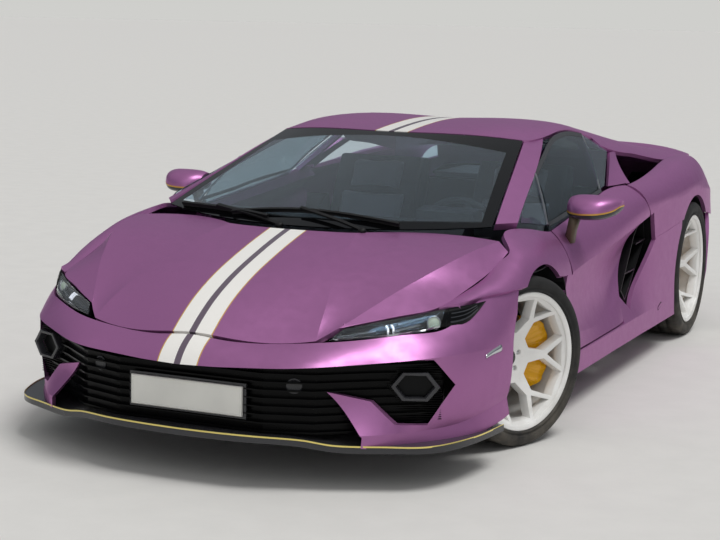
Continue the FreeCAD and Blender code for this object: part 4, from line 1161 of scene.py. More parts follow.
@dataclass
class Headlamps:
    """Clear lenses, black bowls with their light units, and the louvred outer ends.

    Attributes:
        low: Lower edge of the left lens.
        high: Upper edge of the left lens.
        inward: Direction from the lens into the lamp.
        end_low: Lower edge of the louvred end.
        end_high: Upper edge of the louvred end.
        glass: Thickness of the lens.
        steps: Steps between two given points of an edge.
        rows: Rows of points across the lens.
        crown: Height of the lens's bulge.
        levels: Depth and narrowing of each step of the bowl.
        bars: Place along the lens of each daylight bar.
        bar_outline: Outline of a daylight bar, sideways and upward.
        projector: Place along and up the lens, and depth, of the projector.
        bezel: Offset and radius of the projector's bright ring.
        eye: Offset and radius of its glass.
        blades: Start, end and height of each inner blade.
        louvres: Share of the end's height at which each louvre runs.
        ring_centre: Centre of the hexagonal ring in the corner intake.
        ring_turn: Its turn from facing straight ahead, in degrees.
        ring_half: Half width and half height of the ring.
        ring_corners: Corners of the ring as shares of those.
        ring_section: Share of the size and depth around the ring's section.
        well: Share of the size and depth of the dark plate in the ring.
    """

    low: tuple[Point, ...] = ((0.507, -2.146, 0.537), (0.600, -2.093, 0.544),
                              (0.690, -2.029, 0.551), (0.775, -1.956, 0.563),
                              (0.832, -1.882, 0.575))
    high: tuple[Point, ...] = ((0.538, -2.088, 0.573), (0.622, -2.027, 0.591),
                               (0.712, -1.955, 0.609), (0.788, -1.885, 0.626),
                               (0.836, -1.836, 0.634))
    inward: Vector = field(default_factory=lambda: Vector((-0.42, 0.62, -0.66)).normalized())
    end_low: tuple[Point, ...] = ((0.829, -1.887, 0.574), (0.868, -1.826, 0.571),
                                  (0.896, -1.772, 0.583), (0.910, -1.704, 0.612),
                                  (0.9145, -1.640, 0.6385))
    end_high: tuple[Point, ...] = ((0.834, -1.842, 0.634), (0.858, -1.806, 0.638),
                                   (0.884, -1.762, 0.640), (0.902, -1.706, 0.641),
                                   (0.9155, -1.638, 0.6405))
    glass: float = 0.003
    steps: int = 12
    rows: int = 5
    crown: float = 0.003
    levels: tuple = ((0.001, 0.0), (0.012, 0.04), (0.020, 0.10), (0.030, 0.12), (0.046, 0.2))
    bars: tuple[float, float] = (0.425, 0.47)
    bar_outline: tuple = ((-0.004, -0.013), (0.002, -0.015), (0.006, 0.0), (0.002, 0.015),
                          (-0.004, 0.013), (0.0, 0.0))
    projector: Point = (0.86, 0.56, 0.030)
    bezel: tuple = ((0.0, 0.026), (0.012, 0.026), (0.013, 0.023), (0.004, 0.0205),
                    (0.0035, 0.0001))
    eye: tuple = ((0.003, 0.0205), (0.009, 0.018), (0.014, 0.012), (0.0165, 0.006),
                  (0.017, 0.0001))
    blades: tuple = ((0.03, 0.34, 0.38), (0.50, 0.74, 0.72), (0.50, 0.72, 0.34))
    louvres: tuple[float, ...] = (0.22, 0.44, 0.66)
    ring_centre: Point = (0.791, -2.014, 0.371)
    ring_turn: float = 23.5
    ring_half: tuple[float, float] = (0.090, 0.053)
    ring_corners: tuple = ((1, 0), (0.52, 1), (-0.52, 1), (-1, 0), (-0.52, -1), (0.52, -1))
    ring_section: tuple = ((1.0, 0.006), (0.97, 0.0), (0.80, 0.0), (0.76, 0.008),
                           (0.74, 0.026), (0.96, 0.030))
    well: tuple[float, float] = (0.78, 0.034)

    def surface(self, low: tuple, high: tuple, lift: float, trim: float = 0.0) -> list:
        """Rows of points between two edges.

        Args:
            low: Lower edge.
            high: Upper edge.
            lift: How far the rows lie outside the edges, against the inward direction.
            trim: Share of the width that is left off at both edges.

        Returns:
            Rows of points, from the lower edge to the upper one.
        """
        below = smooth_path(list(low), self.steps)
        above = smooth_path(list(high), self.steps)
        rows = []
        for r in range(self.rows):
            t = trim + (1 - 2 * trim) * r / (self.rows - 1)
            crown = self.crown * math.sin(math.pi * t)
            rows.append([a.lerp(b, t) - self.inward * (lift + crown)
                         for a, b in zip(below, above)])
        return rows

    def at(self, along: float, up: float, depth: float) -> Vector:
        """A point inside the left lamp.

        Args:
            along: Share of the lens length from its inner end.
            up: Share of the lens height.
            depth: Distance behind the lens.

        Returns:
            The point.
        """
        below = smooth_path(list(self.low), self.steps)
        above = smooth_path(list(self.high), self.steps)
        k = min(int(along * (len(below) - 1)), len(below) - 2)
        t = along * (len(below) - 1) - k
        middle = below[k].lerp(below[k + 1], t).lerp(above[k].lerp(above[k + 1], t), up)
        return middle + self.inward * depth

    def build_glass(self, side: Side) -> bpy.types.Object:
        """Make one lens.

        Args:
            side: Side that is built.

        Returns:
            The lens.
        """
        rows = [side.placed(row) for row in self.surface(self.low, self.high, 0.0)]
        toward = side.placed([self.inward])[0]
        return slab(f"lamp_glass_{side.label}", rows, self.glass, toward, LENS,
                    Body.CHASSIS.value)

    def build_bowl(self, side: Side) -> bpy.types.Object:
        """Make the black bowl behind the lens, with stepped walls.

        Args:
            side: Side that is built.

        Returns:
            The bowl.
        """
        points: list = []
        for depth, trim in self.levels:
            rows = self.surface(self.low, self.high, -depth - self.glass, trim)
            rim = rows[0] + rows[-1][::-1]
            middle = sum(rim, Vector()) / len(rim)
            points += [middle + (p - middle) * (1 - trim * 0.15) for p in rim]
        count = len(points) // len(self.levels)
        faces = grid_faces(len(self.levels), count, around=True)
        last = (len(self.levels) - 1) * count
        half = count // 2
        for k in range(half - 1):
            faces.append((last + k, last + k + 1, last + count - 2 - k, last + count - 1 - k))
        return piece(f"lamp_bowl_{side.label}", side.placed(points), faces, LAMP_BLACK,
                     Body.CHASSIS.value, smooth=False)

    def build_units(self, side: Side) -> None:
        """Make the daylight bars, the projector and the bright inner blades.

        Args:
            side: Side that is built.
        """
        label = side.label
        sideways = (self.at(0.6, 0.5, 0) - self.at(0.4, 0.5, 0)).normalized()
        upward = self.inward.cross(sideways).normalized()
        upward = upward if upward.z > 0 else -upward
        for n, along in enumerate(self.bars):
            middle = self.at(along, 0.56, 0.012)
            bar = [middle + sideways * u + upward * v for u, v in self.bar_outline]
            extruded(f"daylight_bar_{label}_{n}", side.placed(bar),
                     side.placed([self.inward * 0.006])[0], LAMP_WHITE,
                     Body.CHASSIS.value)
        centre = side.placed([self.at(*self.projector)])[0]
        axis = side.placed([Vector((0.42, -0.9, 0.1)).normalized()])[0]
        turned_piece(f"projector_bezel_{label}", centre, axis, self.bezel, 36, LAMP_CHROME,
                     Body.CHASSIS.value)
        # The eye's glass carries a painted glint: it glows faintly grey-green.
        turned_piece(f"projector_eye_{label}", centre, axis, self.eye, 36, EYE_GLASS_PAINTED_GLINT,
                     Body.CHASSIS.value)
        for n, (start, end, up) in enumerate(self.blades):
            path = [self.at(start + (end - start) * k / 8, up + 0.12 * k / 8, 0.012)
                    for k in range(9)]
            ribbon(f"lamp_blade_{label}_{n}", side.placed(path),
                   side.placed([upward])[0], 0.0035, 0.010,
                   side.placed([self.inward])[0], LAMP_SATIN, Body.CHASSIS.value, "lamp")

    def build_end(self, side: Side) -> None:
        """Make the louvred end of the lamp over the panel joint.

        Args:
            side: Side that is built.
        """
        label = side.label
        toward = side.placed([self.inward])[0]
        rows = [side.placed(row)
                for row in self.surface(self.end_low, self.end_high, 0.0015)]
        slab(f"lamp_end_{label}", rows, 0.006, toward, LAMP_BLACK, Body.CHASSIS.value)
        below = smooth_path(list(self.end_low), self.steps)
        above = smooth_path(list(self.end_high), self.steps)
        for n, share in enumerate(self.louvres):
            path = []
            for k in range(8, len(below) - 12):
                path.append(below[k].lerp(above[k], share) - self.inward * 0.0045)
            ribbon(f"lamp_louvre_{label}_{n}", side.placed(path),
                   Vector((0, 0, 1)), 0.003, 0.004, toward, LAMP_SATIN, Body.CHASSIS.value,
                   "black_gloss")
        divider = [below[5].lerp(above[5], k / 6) - self.inward * 0.004 for k in range(7)]
        ribbon(f"lamp_divider_{label}", side.placed(divider),
               side.placed([Vector((0.55, 0.8, 0))])[0], 0.002, 0.004, toward,
               BLACK_PLASTIC, Body.CHASSIS.value, "black_gloss")

    def build_ring(self, side: Side) -> bpy.types.Object:
        """Make the hexagonal ring in the corner intake.

        Args:
            side: Side that is built.

        Returns:
            The ring.
        """
        turn = math.radians(self.ring_turn)
        sideways = Vector((math.cos(turn), math.sin(turn), 0))
        inward = Vector((-math.sin(turn), math.cos(turn), 0))
        centre = Vector(self.ring_centre)
        half_width, half_height = self.ring_half

        def hexagon(share: float, depth: float) -> list:
            """Corners of the ring at one size and depth."""
            return [centre + sideways * (half_width * u * share) + inward * depth
                    + Vector((0, 0, half_height * v * share)) for u, v in self.ring_corners]

        points: list = []
        for share, depth in self.ring_section:
            points += hexagon(share, depth)
        count = len(self.ring_corners)
        faces = grid_faces(len(self.ring_section), count, around=True)
        last = (len(self.ring_section) - 1) * count
        for k in range(count):
            n = (k + 1) % count
            faces.append((last + k, last + n, n, k))
        made = piece(f"light_ring_{side.label}", side.placed(points), faces,
                     BLACK_GLOSS, Body.CHASSIS.value, smooth=False)
        softened(made, 0.0015)
        extruded(f"ring_well_{side.label}", side.placed(hexagon(*self.well)),
                 side.placed([inward * 0.004])[0], LAMP_BLACK, Body.CHASSIS.value)
        return made

    def build(self) -> None:
        """Make both lamps."""
        for side in Side:
            for made in (self.build_glass(side), self.build_bowl(side), self.build_ring(side)):
                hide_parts("headlamps")
            self.build_units(side)
            self.build_end(side)
        log.info("headlamps done")


@dataclass
class RearLamps:
    """Red lenses, lit guides and cooling ribs in the tail lamp frames.

    Attributes:
        outline: X and lower and upper height of the lens along the left lamp.
        inset: How far the lens lies inside the frame.
        guides: Middle lines of the lit guides, X and Z.
    """

    outline: tuple = ((0.449, 0.731, 0.739), (0.480, 0.690, 0.779), (0.550, 0.690, 0.778),
                      (0.620, 0.691, 0.776), (0.693, 0.692, 0.773), (0.734, 0.731, 0.739))
    inset: float = 0.008
    guides: tuple = (((0.463, 0.735), (0.492, 0.762), (0.600, 0.761), (0.684, 0.757),
                      (0.716, 0.737)),
                     ((0.470, 0.729), (0.495, 0.707), (0.600, 0.708), (0.684, 0.709),
                      (0.714, 0.731)),
                     ((0.500, 0.735), (0.560, 0.735), (0.620, 0.735), (0.672, 0.735)))

    def skin_y(self, x: float, z: float) -> float:
        """Y of the frame's face.

        Args:
            x: Distance from the car's middle plane.
            z: Height.

        Returns:
            The face's Y.
        """
        return 2.335 - 0.103 * (x - 0.40) - 0.34 * (x - 0.40) ** 2 - 0.13 * (z - 0.735)

    def build(self) -> None:
        """Make the lens, guides and ribs of both lamps."""
        for side in Side:
            label = side.label
            rows = []
            for r in range(4):
                row = []
                for x, low, high in self.outline:
                    z = low + (high - low) * r / 3
                    row.append(Vector((side.value * x, self.skin_y(x, z) - self.inset, z)))
                rows.append(row)
            slab(f"tail_lens_{label}", rows, 0.003, Vector((0, -1, 0)), RED_LENS,
                 Body.CHASSIS.value)
            for n, guide in enumerate(self.guides):
                path = [Vector((side.value * x, self.skin_y(x, z) - self.inset - 0.008, z))
                        for x, z in guide]
                ribbon(f"tail_guide_{label}_{n}", path, Vector((0, 0, 1)), 0.0035, 0.003,
                       Vector((0, -1, 0)), RED_GUIDE, Body.CHASSIS.value, "lamp")
            for n in range(7):
                x = 0.505 + 0.030 * n
                foot = [Vector((side.value * x, self.skin_y(x, z) - self.inset - 0.013, z))
                        for z in (0.694, 0.772)]
                ribbon(f"tail_rib_{label}_{n}", foot, Vector((1, 0, 0)), 0.0015, 0.010,
                       Vector((0, -1, 0)), LAMP_SATIN, Body.CHASSIS.value, "black_gloss")
        log.info("tail lamps done")


@dataclass
class Mirrors:
    """Door mirrors: painted cap, black base, gold line, glass and stalk.

    Attributes:
        sections: X, front, rear, low and high of each cross-section, and height of its split.
        around: Steps along half a cross-section.
        steps: Steps between two given cross-sections.
        fullness: Power that squares the cap's curve, 1 for an ellipse.
        base_fullness: The same of the black base.
        stalk: Centre, half width and half length of each of the stalk's cross-sections.
        line: Half width and thickness of the gold line.
    """

    sections: tuple = ((0.900, -0.590, -0.482, 0.858, 0.936, 0.877),
                       (0.930, -0.622, -0.480, 0.846, 0.946, 0.872),
                       (0.975, -0.639, -0.479, 0.842, 0.950, 0.870),
                       (1.045, -0.630, -0.475, 0.846, 0.949, 0.874),
                       (1.092, -0.580, -0.468, 0.862, 0.940, 0.884),
                       (1.116, -0.520, -0.464, 0.886, 0.926, 0.902))
    around: int = 28
    steps: int = 5
    fullness: float = 0.62
    base_fullness: float = 0.8
    line: tuple[float, float] = (0.0032, 0.0016)
    stalk: tuple = ((0.905, -0.548, 0.735, 0.022, 0.030), (0.915, -0.556, 0.790, 0.021, 0.030),
                    (0.934, -0.566, 0.862, 0.024, 0.034))

    def finer(self) -> list:
        """Cross-sections between the given ones.

        Returns:
            The finer table.
        """
        front = smooth_path([(r[0], r[1], r[2]) for r in self.sections], self.steps)
        tall = smooth_path([(r[3], r[4], r[5]) for r in self.sections], self.steps)
        return [(a.x, a.y, a.z, b.x, b.y, b.z) for a, b in zip(front, tall)]

    def arc(self, row: tuple, upper: bool) -> list:
        """One half of a cross-section, from the rear to the front edge.

        Args:
            row: Entry of the table.
            upper: Whether it is the half above the split.

        Returns:
            The points.
        """
        x, front, rear, low, high, split = row
        deep = rear - front
        tall = (high - split) if upper else (low - split)
        points = []
        for k in range(self.around + 1):
            angle = math.pi * k / self.around
            c, s = math.cos(angle), math.sin(angle)
            y = math.copysign(abs(c) ** self.fullness, c)
            z = abs(s) ** (self.fullness if upper else self.base_fullness)
            share = (y + 1) / 2
            slope = 1.0 - 0.35 * (1 - share) ** 2 if upper else 1.0
            points.append(Vector((x, front + deep * share, split + tall * z * slope)))
        return points

    def build_side(self, side: Side) -> None:
        """Make one mirror.

        Args:
            side: Side that is built.
        """
        label = side.label
        body = side.door
        table = self.finer()
        halves = (("mirror_cap", True, PAINT, "body_paint"),
                  ("mirror_base", False, BLACK_GLOSS, "black_gloss"))
        for name, upper, finish, slot in halves:
            rows = [self.arc(row, upper) for row in table]
            width = len(rows[0])
            points = [p for row in rows for p in row]
            faces = grid_faces(len(rows), width, around=True)
            faces.append(tuple(range(width)))
            faces.append(tuple(len(points) - 1 - k for k in range(width)))
            points = side.placed(points)
            made = piece(f"{name}_{label}", points, faces, finish, body)
            made.data.set_sharp_from_angle(angle=math.radians(40))
            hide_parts(f"mirror_{label}")
        line = [Vector((r[0], r[1] - 0.0006, r[5])) for r in table]
        line.append(Vector((table[-1][0] + 0.002, table[-1][2], table[-1][5])))
        line.insert(0, Vector((table[0][0] - 0.002, -0.545, table[0][5])))
        line = side.placed(line)
        ribbon(f"mirror_line_{label}", line, Vector((0, 0, 1)), *self.line,
               Vector((0, -1, 0)), GOLD, body, "yellow")
        self.build_stalk(side, body)
        self.build_glass(side, body, table)

    def build_stalk(self, side: Side, body: str) -> None:
        """Make the stalk that carries the mirror on the door.

        Args:
            side: Side that is built.
            body: Body of the door.
        """
        points: list = []
        count = 20
        for x, y, z, half_x, half_y in self.stalk:
            for k in range(count):
                angle = 2 * math.pi * k / count
                c, s = math.cos(angle), math.sin(angle)
                points.append(Vector((x + half_x * math.copysign(abs(c) ** 0.7, c),
                                      y + half_y * math.copysign(abs(s) ** 0.7, s), z)))
        faces = grid_faces(len(self.stalk), count, around=True)
        faces.append(tuple(range(count)))
        faces.append(tuple(len(points) - 1 - k for k in range(count)))
        points = side.placed(points)
        made = piece(f"mirror_stalk_{side.label}", points, faces, BRONZE, body)
        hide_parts(f"mirror_{side.label}")

    def build_glass(self, side: Side, body: str, table: list) -> None:
        """Make the mirror glass in the rear face.

        Args:
            side: Side that is built.
            body: Body of the door.
            table: Finer table of cross-sections.
        """
        rim = []
        for row in table[1:-2]:
            rim.append(Vector((row[0], row[2] + 0.001, row[5] + (row[4] - row[5]) * 0.45)))
        for row in reversed(table[1:-2]):
            rim.append(Vector((row[0], row[2] + 0.001, row[5] - (row[5] - row[3]) * 0.35)))
        rim = side.placed(rim)
        extruded(f"mirror_glass_{side.label}", rim, Vector((0, 0.002, 0)), LAMP_CHROME,
                 body)

    def build(self) -> None:
        """Make both mirrors."""
        for side in Side:
            self.build_side(side)
        log.info("mirrors done")


@dataclass
class Glazing:
    """Window dividers, seals and the wipers.

    Attributes:
        divider: Bar between the corner window and the door glass.
        pillar: Bar at the rear edge of the door glass.
        waist: Lower edge of the door glass.
        roofline: Upper edge of the door glass.
        blades: Ends of each wiper blade and its pivot.
        bars: Name of each line, its half width, thickness and finish, and whether it rides
            on the door.
        outward: Direction that the side glass faces.
        knob: Offset and radius of the cover on a wiper's pivot.
    """

    divider: tuple[Point, ...] = ((0.727, -0.512, 1.020), (0.790, -0.604, 0.924),
                                  (0.846, -0.692, 0.824))
    pillar: tuple[Point, ...] = ((0.642, 0.474, 1.128), (0.740, 0.330, 1.010),
                                 (0.823, 0.188, 0.893))
    waist: tuple[Point, ...] = ((0.846, -0.682, 0.822), (0.844, -0.480, 0.837),
                                (0.841, -0.260, 0.857), (0.835, -0.020, 0.879),
                                (0.826, 0.185, 0.893))
    roofline: tuple[Point, ...] = ((0.722, -0.494, 1.011), (0.679, -0.240, 1.082),
                                   (0.643, 0.0, 1.137), (0.630, 0.260, 1.148),
                                   (0.643, 0.470, 1.127))
    bars: tuple = (("divider", 0.006, 0.004, FRAME_SILVER, False),
                   ("pillar", 0.009, 0.004, FRAME_SILVER, False),
                   ("waist", 0.009, 0.005, BLACK_GLOSS, True),
                   ("roofline", 0.012, 0.003, BLACK_GLOSS, False))
    outward: Point = (0.86, 0.0, 0.51)
    knob: tuple = ((-0.016, 0.017), (0.004, 0.017), (0.010, 0.013), (0.011, 0.0001))
    blades: tuple = (((-0.655, -1.168, 0.856), (-0.130, -1.385, 0.852), (-0.06, -1.425, 0.838)),
                     ((-0.330, -1.325, 0.856), (0.420, -1.300, 0.846), (0.30, -1.405, 0.836)))

    def build_bars(self) -> None:
        """Make dividers and seals of both sides."""
        for side in Side:
            for name, half, thick, finish, on_door in self.bars:
                path = smooth_path(list(getattr(self, name)), 6)
                along = (path[-1] - path[0]).normalized()
                across = along.cross(Vector(self.outward)).normalized()
                outward = across.cross(along).normalized()
                outward = outward if outward.x > 0 else -outward
                path = side.placed(path)
                across, outward = side.placed([across, outward])
                body = side.door if on_door else Body.CHASSIS.value
                ribbon(f"window_{name}_{side.label}", path, across, half, thick, outward,
                       finish, body, "black_gloss")

    def build_wipers(self, skin: Skin) -> None:
        """Lay both wipers on the windscreen.

        Args:
            skin: Surface of the glass.
        """
        down = Vector((0, 0.35, -0.937)).normalized()
        for n, (start, end, pivot) in enumerate(self.blades):
            path = [Vector(start).lerp(Vector(end), k / 14) for k in range(15)]
            rubber = skin.laid(path, down, 0.0015, 0.05)
            along = (rubber[-1] - rubber[0]).normalized()
            across = along.cross(down).normalized()
            ribbon(f"wiper_rubber_{n}", rubber, across, 0.003, 0.010, -down, RUBBER,
                   Body.CHASSIS.value, "black_matte")
            spine = [p - down * 0.010 for p in rubber]
            ribbon(f"wiper_blade_{n}", spine, across, 0.007, 0.009, -down, BLACK_PLASTIC,
                   Body.CHASSIS.value, "black_matte")
            hold = spine[6] - down * 0.009
            reach = [Vector(pivot), Vector(pivot).lerp(hold, 0.35) - down * 0.006,
                     Vector(pivot).lerp(hold, 0.7) - down * 0.004, hold]
            arm = smooth_path(reach, 6)
            ribbon(f"wiper_arm_{n}", arm, across, 0.009, 0.008, -down, BLACK_PLASTIC,
                   Body.CHASSIS.value, "black_matte")
            turned_piece(f"wiper_pivot_{n}", Vector(pivot), -down, self.knob, 24, BLACK_PLASTIC,
                         Body.CHASSIS.value)

    def build(self, skin: Skin) -> None:
        """Make all glass trim.

        Args:
            skin: Surface of the glass.
        """
        self.build_bars()
        self.build_wipers(skin)
        log.info("glass trim done")


@dataclass
class Seats:
    """Two bucket seats with a shell and swelling pads.

    Attributes:
        half: Half width of a seat.
        centre: Distance of a seat from the car's middle plane.
        shell: Side profile of the shell, Y and Z.
        cushion: Side profile of the cushion pad.
        back: Side profile of the back pad.
        head: Side profile of the head pad.
        voxel: Grain of the pads' mesh.
        frames: Frames of the cloth simulation.
        pressure: Pressure in a pad.
        cap: How far a point of a pad may swell.
    """

    half: float = 0.185
    centre: float = 0.380
    shell: tuple = ((-0.335, 0.168), (-0.338, 0.300), (-0.245, 0.318), (0.050, 0.262),
                    (0.300, 0.860), (0.372, 0.985), (0.468, 0.975), (0.468, 0.900),
                    (0.248, 0.168))
    cushion: tuple = ((-0.318, 0.305), (-0.245, 0.343), (-0.100, 0.322), (0.045, 0.300),
                      (0.060, 0.275), (-0.110, 0.298), (-0.250, 0.322))
    back: tuple = ((0.070, 0.330), (0.062, 0.380), (0.180, 0.640), (0.262, 0.800),
                   (0.300, 0.810), (0.215, 0.600), (0.105, 0.320))
    head: tuple = ((0.272, 0.830), (0.330, 0.950), (0.352, 0.955), (0.385, 0.965),
                   (0.375, 0.930), (0.315, 0.820))
    voxel: float = 0.006
    frames: int = 20
    pressure: float = 4.0
    cap: float = 0.012

    def prism(self, name: str, profile: tuple, x: float, half: float, finish: Finish) -> bpy.types.Object:
        """A side profile pushed across the seat.

        Args:
            name: Object name.
            profile: Side profile in Y and Z.
            x: Middle of the seat.
            half: Half of its width.
            finish: Its finish.

        Returns:
            The new object.
        """
        outline = [Vector((x - half, y, z)) for y, z in profile]
        return extruded(name, outline, Vector((2 * half, 0, 0)), finish, Body.CHASSIS.value)

    def swell(self, made: bpy.types.Object) -> None:
        """Blow a pad up as sewn fabric and apply the result.

        Args:
            made: The pad.
        """
        remesh = made.modifiers.new("remesh", "REMESH")
        remesh.mode = "VOXEL"
        remesh.voxel_size = self.voxel
        apply_modifiers(made)
        start = [v.co.copy() for v in made.data.vertices]
        cloth = made.modifiers.new("cloth", "CLOTH")
        cloth.settings.use_pressure = True
        cloth.settings.uniform_pressure_force = self.pressure
        cloth.settings.effector_weights.gravity = 0.0
        scene = bpy.context.scene
        for frame in range(1, self.frames + 1):
            scene.frame_set(frame)
        apply_modifiers(made)
        scene.frame_set(1)
        for vertex, old in zip(made.data.vertices, start):
            move = vertex.co - old
            if move.length > self.cap:
                vertex.co = old + move.normalized() * self.cap
        for face in made.data.polygons:
            face.use_smooth = True
        if not made.data.materials:
            made.data.materials.append(MICROFIBRE.material())

    def build_seat(self, side: Side) -> None:
        """Make one seat.

        Args:
            side: Side that is built.
        """
        label = side.label
        x = side.value * self.centre
        shell = self.prism(f"seat_shell_{label}", self.shell, x, self.half + 0.045, SHELL_TRIM)
        softened(shell, 0.018, 3)
        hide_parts("seats")
        for name, profile, half in (("seat_cushion", self.cushion, self.half),
                                    ("seat_back", self.back, self.half - 0.01),
                                    ("seat_head", self.head, self.half - 0.05)):
            pad = self.prism(f"{name}_{label}", profile, x, half, MICROFIBRE)
            self.swell(pad)
            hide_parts("seats")

    def build(self) -> None:
        """Make both seats."""
        for side in Side:
            self.build_seat(side)
        log.info("seats done")


@dataclass
class Trim:
    """Pinstripes, plate rim, intake fins, reflectors and markers.

    Attributes:
        splitter_edge: Upper front edge of the splitter.
        line: Half width and thickness of the yellow line on it.
        reflector: Middle line of the side reflector.
        marker_y: Y of the side marker.
        marker_z: Height of the side marker.
        marker_half: Its half length and half height.
        marker_rise: How much it climbs per metre of length.
        plate_rings: Step in from the plate's edge and depth of the pressed rim.
        fins: Number of fins in a corner intake.
        fin_low: Height of the lowest fin.
        fin_pitch: Distance from one fin to the next.
        fin_ends: Inner and outer end of a fin, X and Y.
        fin_size: Depth and thickness of a fin.
        sensor: Offset and radius of a sensor's disc.
        sensor_at: Centre of the left sensor.
        sensor_faces: Direction that it faces.
    """

    splitter_edge: tuple[Point, ...] = (
        (0.0, -2.3468, 0.199), (0.150, -2.3438, 0.2), (0.300, -2.3278, 0.2005),
        (0.455, -2.2638, 0.191), (0.570, -2.2138, 0.173), (0.720, -2.1398, 0.170),
        (0.870, -2.0498, 0.169), (0.960, -1.8398, 0.169), (0.989, -1.602, 0.168),
    )
    reflector: tuple[Point, ...] = ((0.964, -1.748, 0.452), (0.972, -1.700, 0.462),
                                    (0.983, -1.640, 0.469))
    marker_y: float = 0.800
    marker_z: float = 0.260
    marker_half: tuple[float, float] = (0.030, 0.008)
    marker_rise: float = 0.3
    line: tuple[float, float] = (0.0028, 0.0012)
    plate_rings: tuple = ((0.001, 0.0), (0.003, -0.0016), (0.006, -0.0016), (0.008, 0.0))
    fins: int = 24
    fin_low: float = 0.245
    fin_pitch: float = 0.0085
    fin_ends: tuple = ((0.600, -2.066), (0.862, -1.938))
    fin_size: tuple[float, float] = (0.012, 0.002)
    sensor: tuple = ((0.0, 0.030), (0.004, 0.030), (0.006, 0.027), (0.004, 0.022),
                     (0.0045, 0.0001))
    sensor_at: Point = (0.4045, -2.2135, 0.373)
    sensor_faces: Point = (0.316, -0.949, 0.0)

    def build_lines(self) -> None:
        """Make the yellow line along the splitter."""
        path = smooth_path(list(self.splitter_edge), 10)
        ribbon("splitter_line", mirrored(path[1:])[::-1] + path, Vector((0, 0, 1)), *self.line,
               Vector((0, -1, 0)), YELLOW, Body.CHASSIS.value, "yellow")

    def build_plate(self) -> None:
        """Make the pressed rim of the blank plate and its black holder."""
        low, high = (Vector(c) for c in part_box("number_plate"))
        wide, tall = high.x, (high.z - low.z) / 2
        middle = (high.z + low.z) / 2
        corners = [(-1, -1), (1, -1), (1, 1), (-1, 1)]
        points: list = []
        for step, depth in self.plate_rings:
            points += [Vector((u * (wide - step), low.y - 0.0004 + depth,
                               middle + v * (tall - step))) for u, v in corners]
        faces = grid_faces(len(self.plate_rings), 4, around=True)
        for k in range(4):
            n = (k + 1) % 4
            faces.append((12 + k, 12 + n, n, k))
        piece("plate_rim", points, faces, PLATE_FILM, Body.CHASSIS.value, smooth=False)
        holder = [Vector((u * (wide + 0.012), high.y + 0.0005, middle + v * (tall + 0.010)))
                  for u, v in corners]
        extruded("plate_holder", holder, Vector((0, 0.010, 0)), BLACK_GLOSS, Body.CHASSIS.value)

    def build_reflectors(self, skin: Skin) -> None:
        """Make the clear side reflectors of the front bumper.

        Args:
            skin: Surface of the body.
        """
        toward = Vector((-1, 0, 0))
        path = smooth_path(list(self.reflector), 6)
        count = len(path)
        rows = []
        for r, share in enumerate((-1.0, -0.4, 0.4, 1.0)):
            row = []
            for k, p in enumerate(path):
                half = 0.006 + 0.008 * k / (count - 1)
                lifted = p + Vector((0, 0, half * share))
                row.append(skin.meet(lifted, toward)[0] + Vector((0.0005 + 0.0035
                                                                 * (abs(share) < 1), 0, 0)))
            rows.append(row)
        for side in Side:
            own = [side.placed(row) for row in rows]
            slab(f"side_reflector_{side.label}", own, 0.003,
                 Vector((-side.value, 0, 0)), LAMP_CHROME, Body.CHASSIS.value)

    def build_markers(self, skin: Skin) -> None:
        """Make the slim side markers in front of the rear wheels.

        Args:
            skin: Surface of the body.
        """
        toward = Vector((-1, 0, 0))
        for name, grow, lift, finish in (("marker_frame", 0.004, 0.001, BLACK_PLASTIC),
                                         ("marker_lens", 0.0, 0.002, PAINT)):
            outline = []
            for k in range(24):
                angle = 2 * math.pi * k / 24
                c, s = math.cos(angle), math.sin(angle)
                along = math.copysign(abs(c) ** 0.5, c) * (self.marker_half[0] + grow)
                up = math.copysign(abs(s) ** 0.7, s) * (self.marker_half[1] + grow)
                up += along * self.marker_rise
                outline.append(Vector((0.99, self.marker_y + along, self.marker_z + up)))
            outline = [skin.meet(p, toward)[0] + Vector((lift, 0, 0)) for p in outline]
            for side in Side:
                extruded(f"{name}_{side.label}", side.placed(outline),
                         Vector((-side.value * 0.003, 0, 0)), finish, Body.CHASSIS.value)

    def build_fins(self) -> None:
        """Make the fine level fins of the corner intakes and the centre sensor."""
        back = Vector((0.0, self.fin_size[0], 0.0))
        points: list = []
        faces: list = []
        for n in range(self.fins):
            z = self.fin_low + n * self.fin_pitch
            a, b = (Vector((x, y, z)) for x, y in self.fin_ends)
            start = len(points)
            for rise in (0.0, self.fin_size[1]):
                points += [p + Vector((0, 0, rise)) for p in (a, b, b + back, a + back)]
            faces += [(start, start + 1, start + 2, start + 3),
                      (start + 7, start + 6, start + 5, start + 4)]
            for k in range(4):
                m = (k + 1) % 4
                faces.append((start + k, start + m, start + 4 + m, start + 4 + k))
        for side in Side:
            piece(f"intake_fins_{side.label}", side.placed(points), faces, GRILLE_BLACK,
                  Body.CHASSIS.value, smooth=False)
        for side in Side:
            centre, faces_to = side.placed([self.sensor_at, self.sensor_faces])
            turned_piece(f"sensor_{side.label}", Vector(centre), Vector(faces_to).normalized(),
                         self.sensor, 32, BLACK_GLOSS, Body.CHASSIS.value)

    def build(self, skin: Skin) -> None:
        """Make all trim.

        Args:
            skin: Surface of the body.
        """
        self.build_lines()
        self.build_plate()
        self.build_reflectors(skin)
        self.build_markers(skin)
        self.build_fins()
        log.info("trim done")


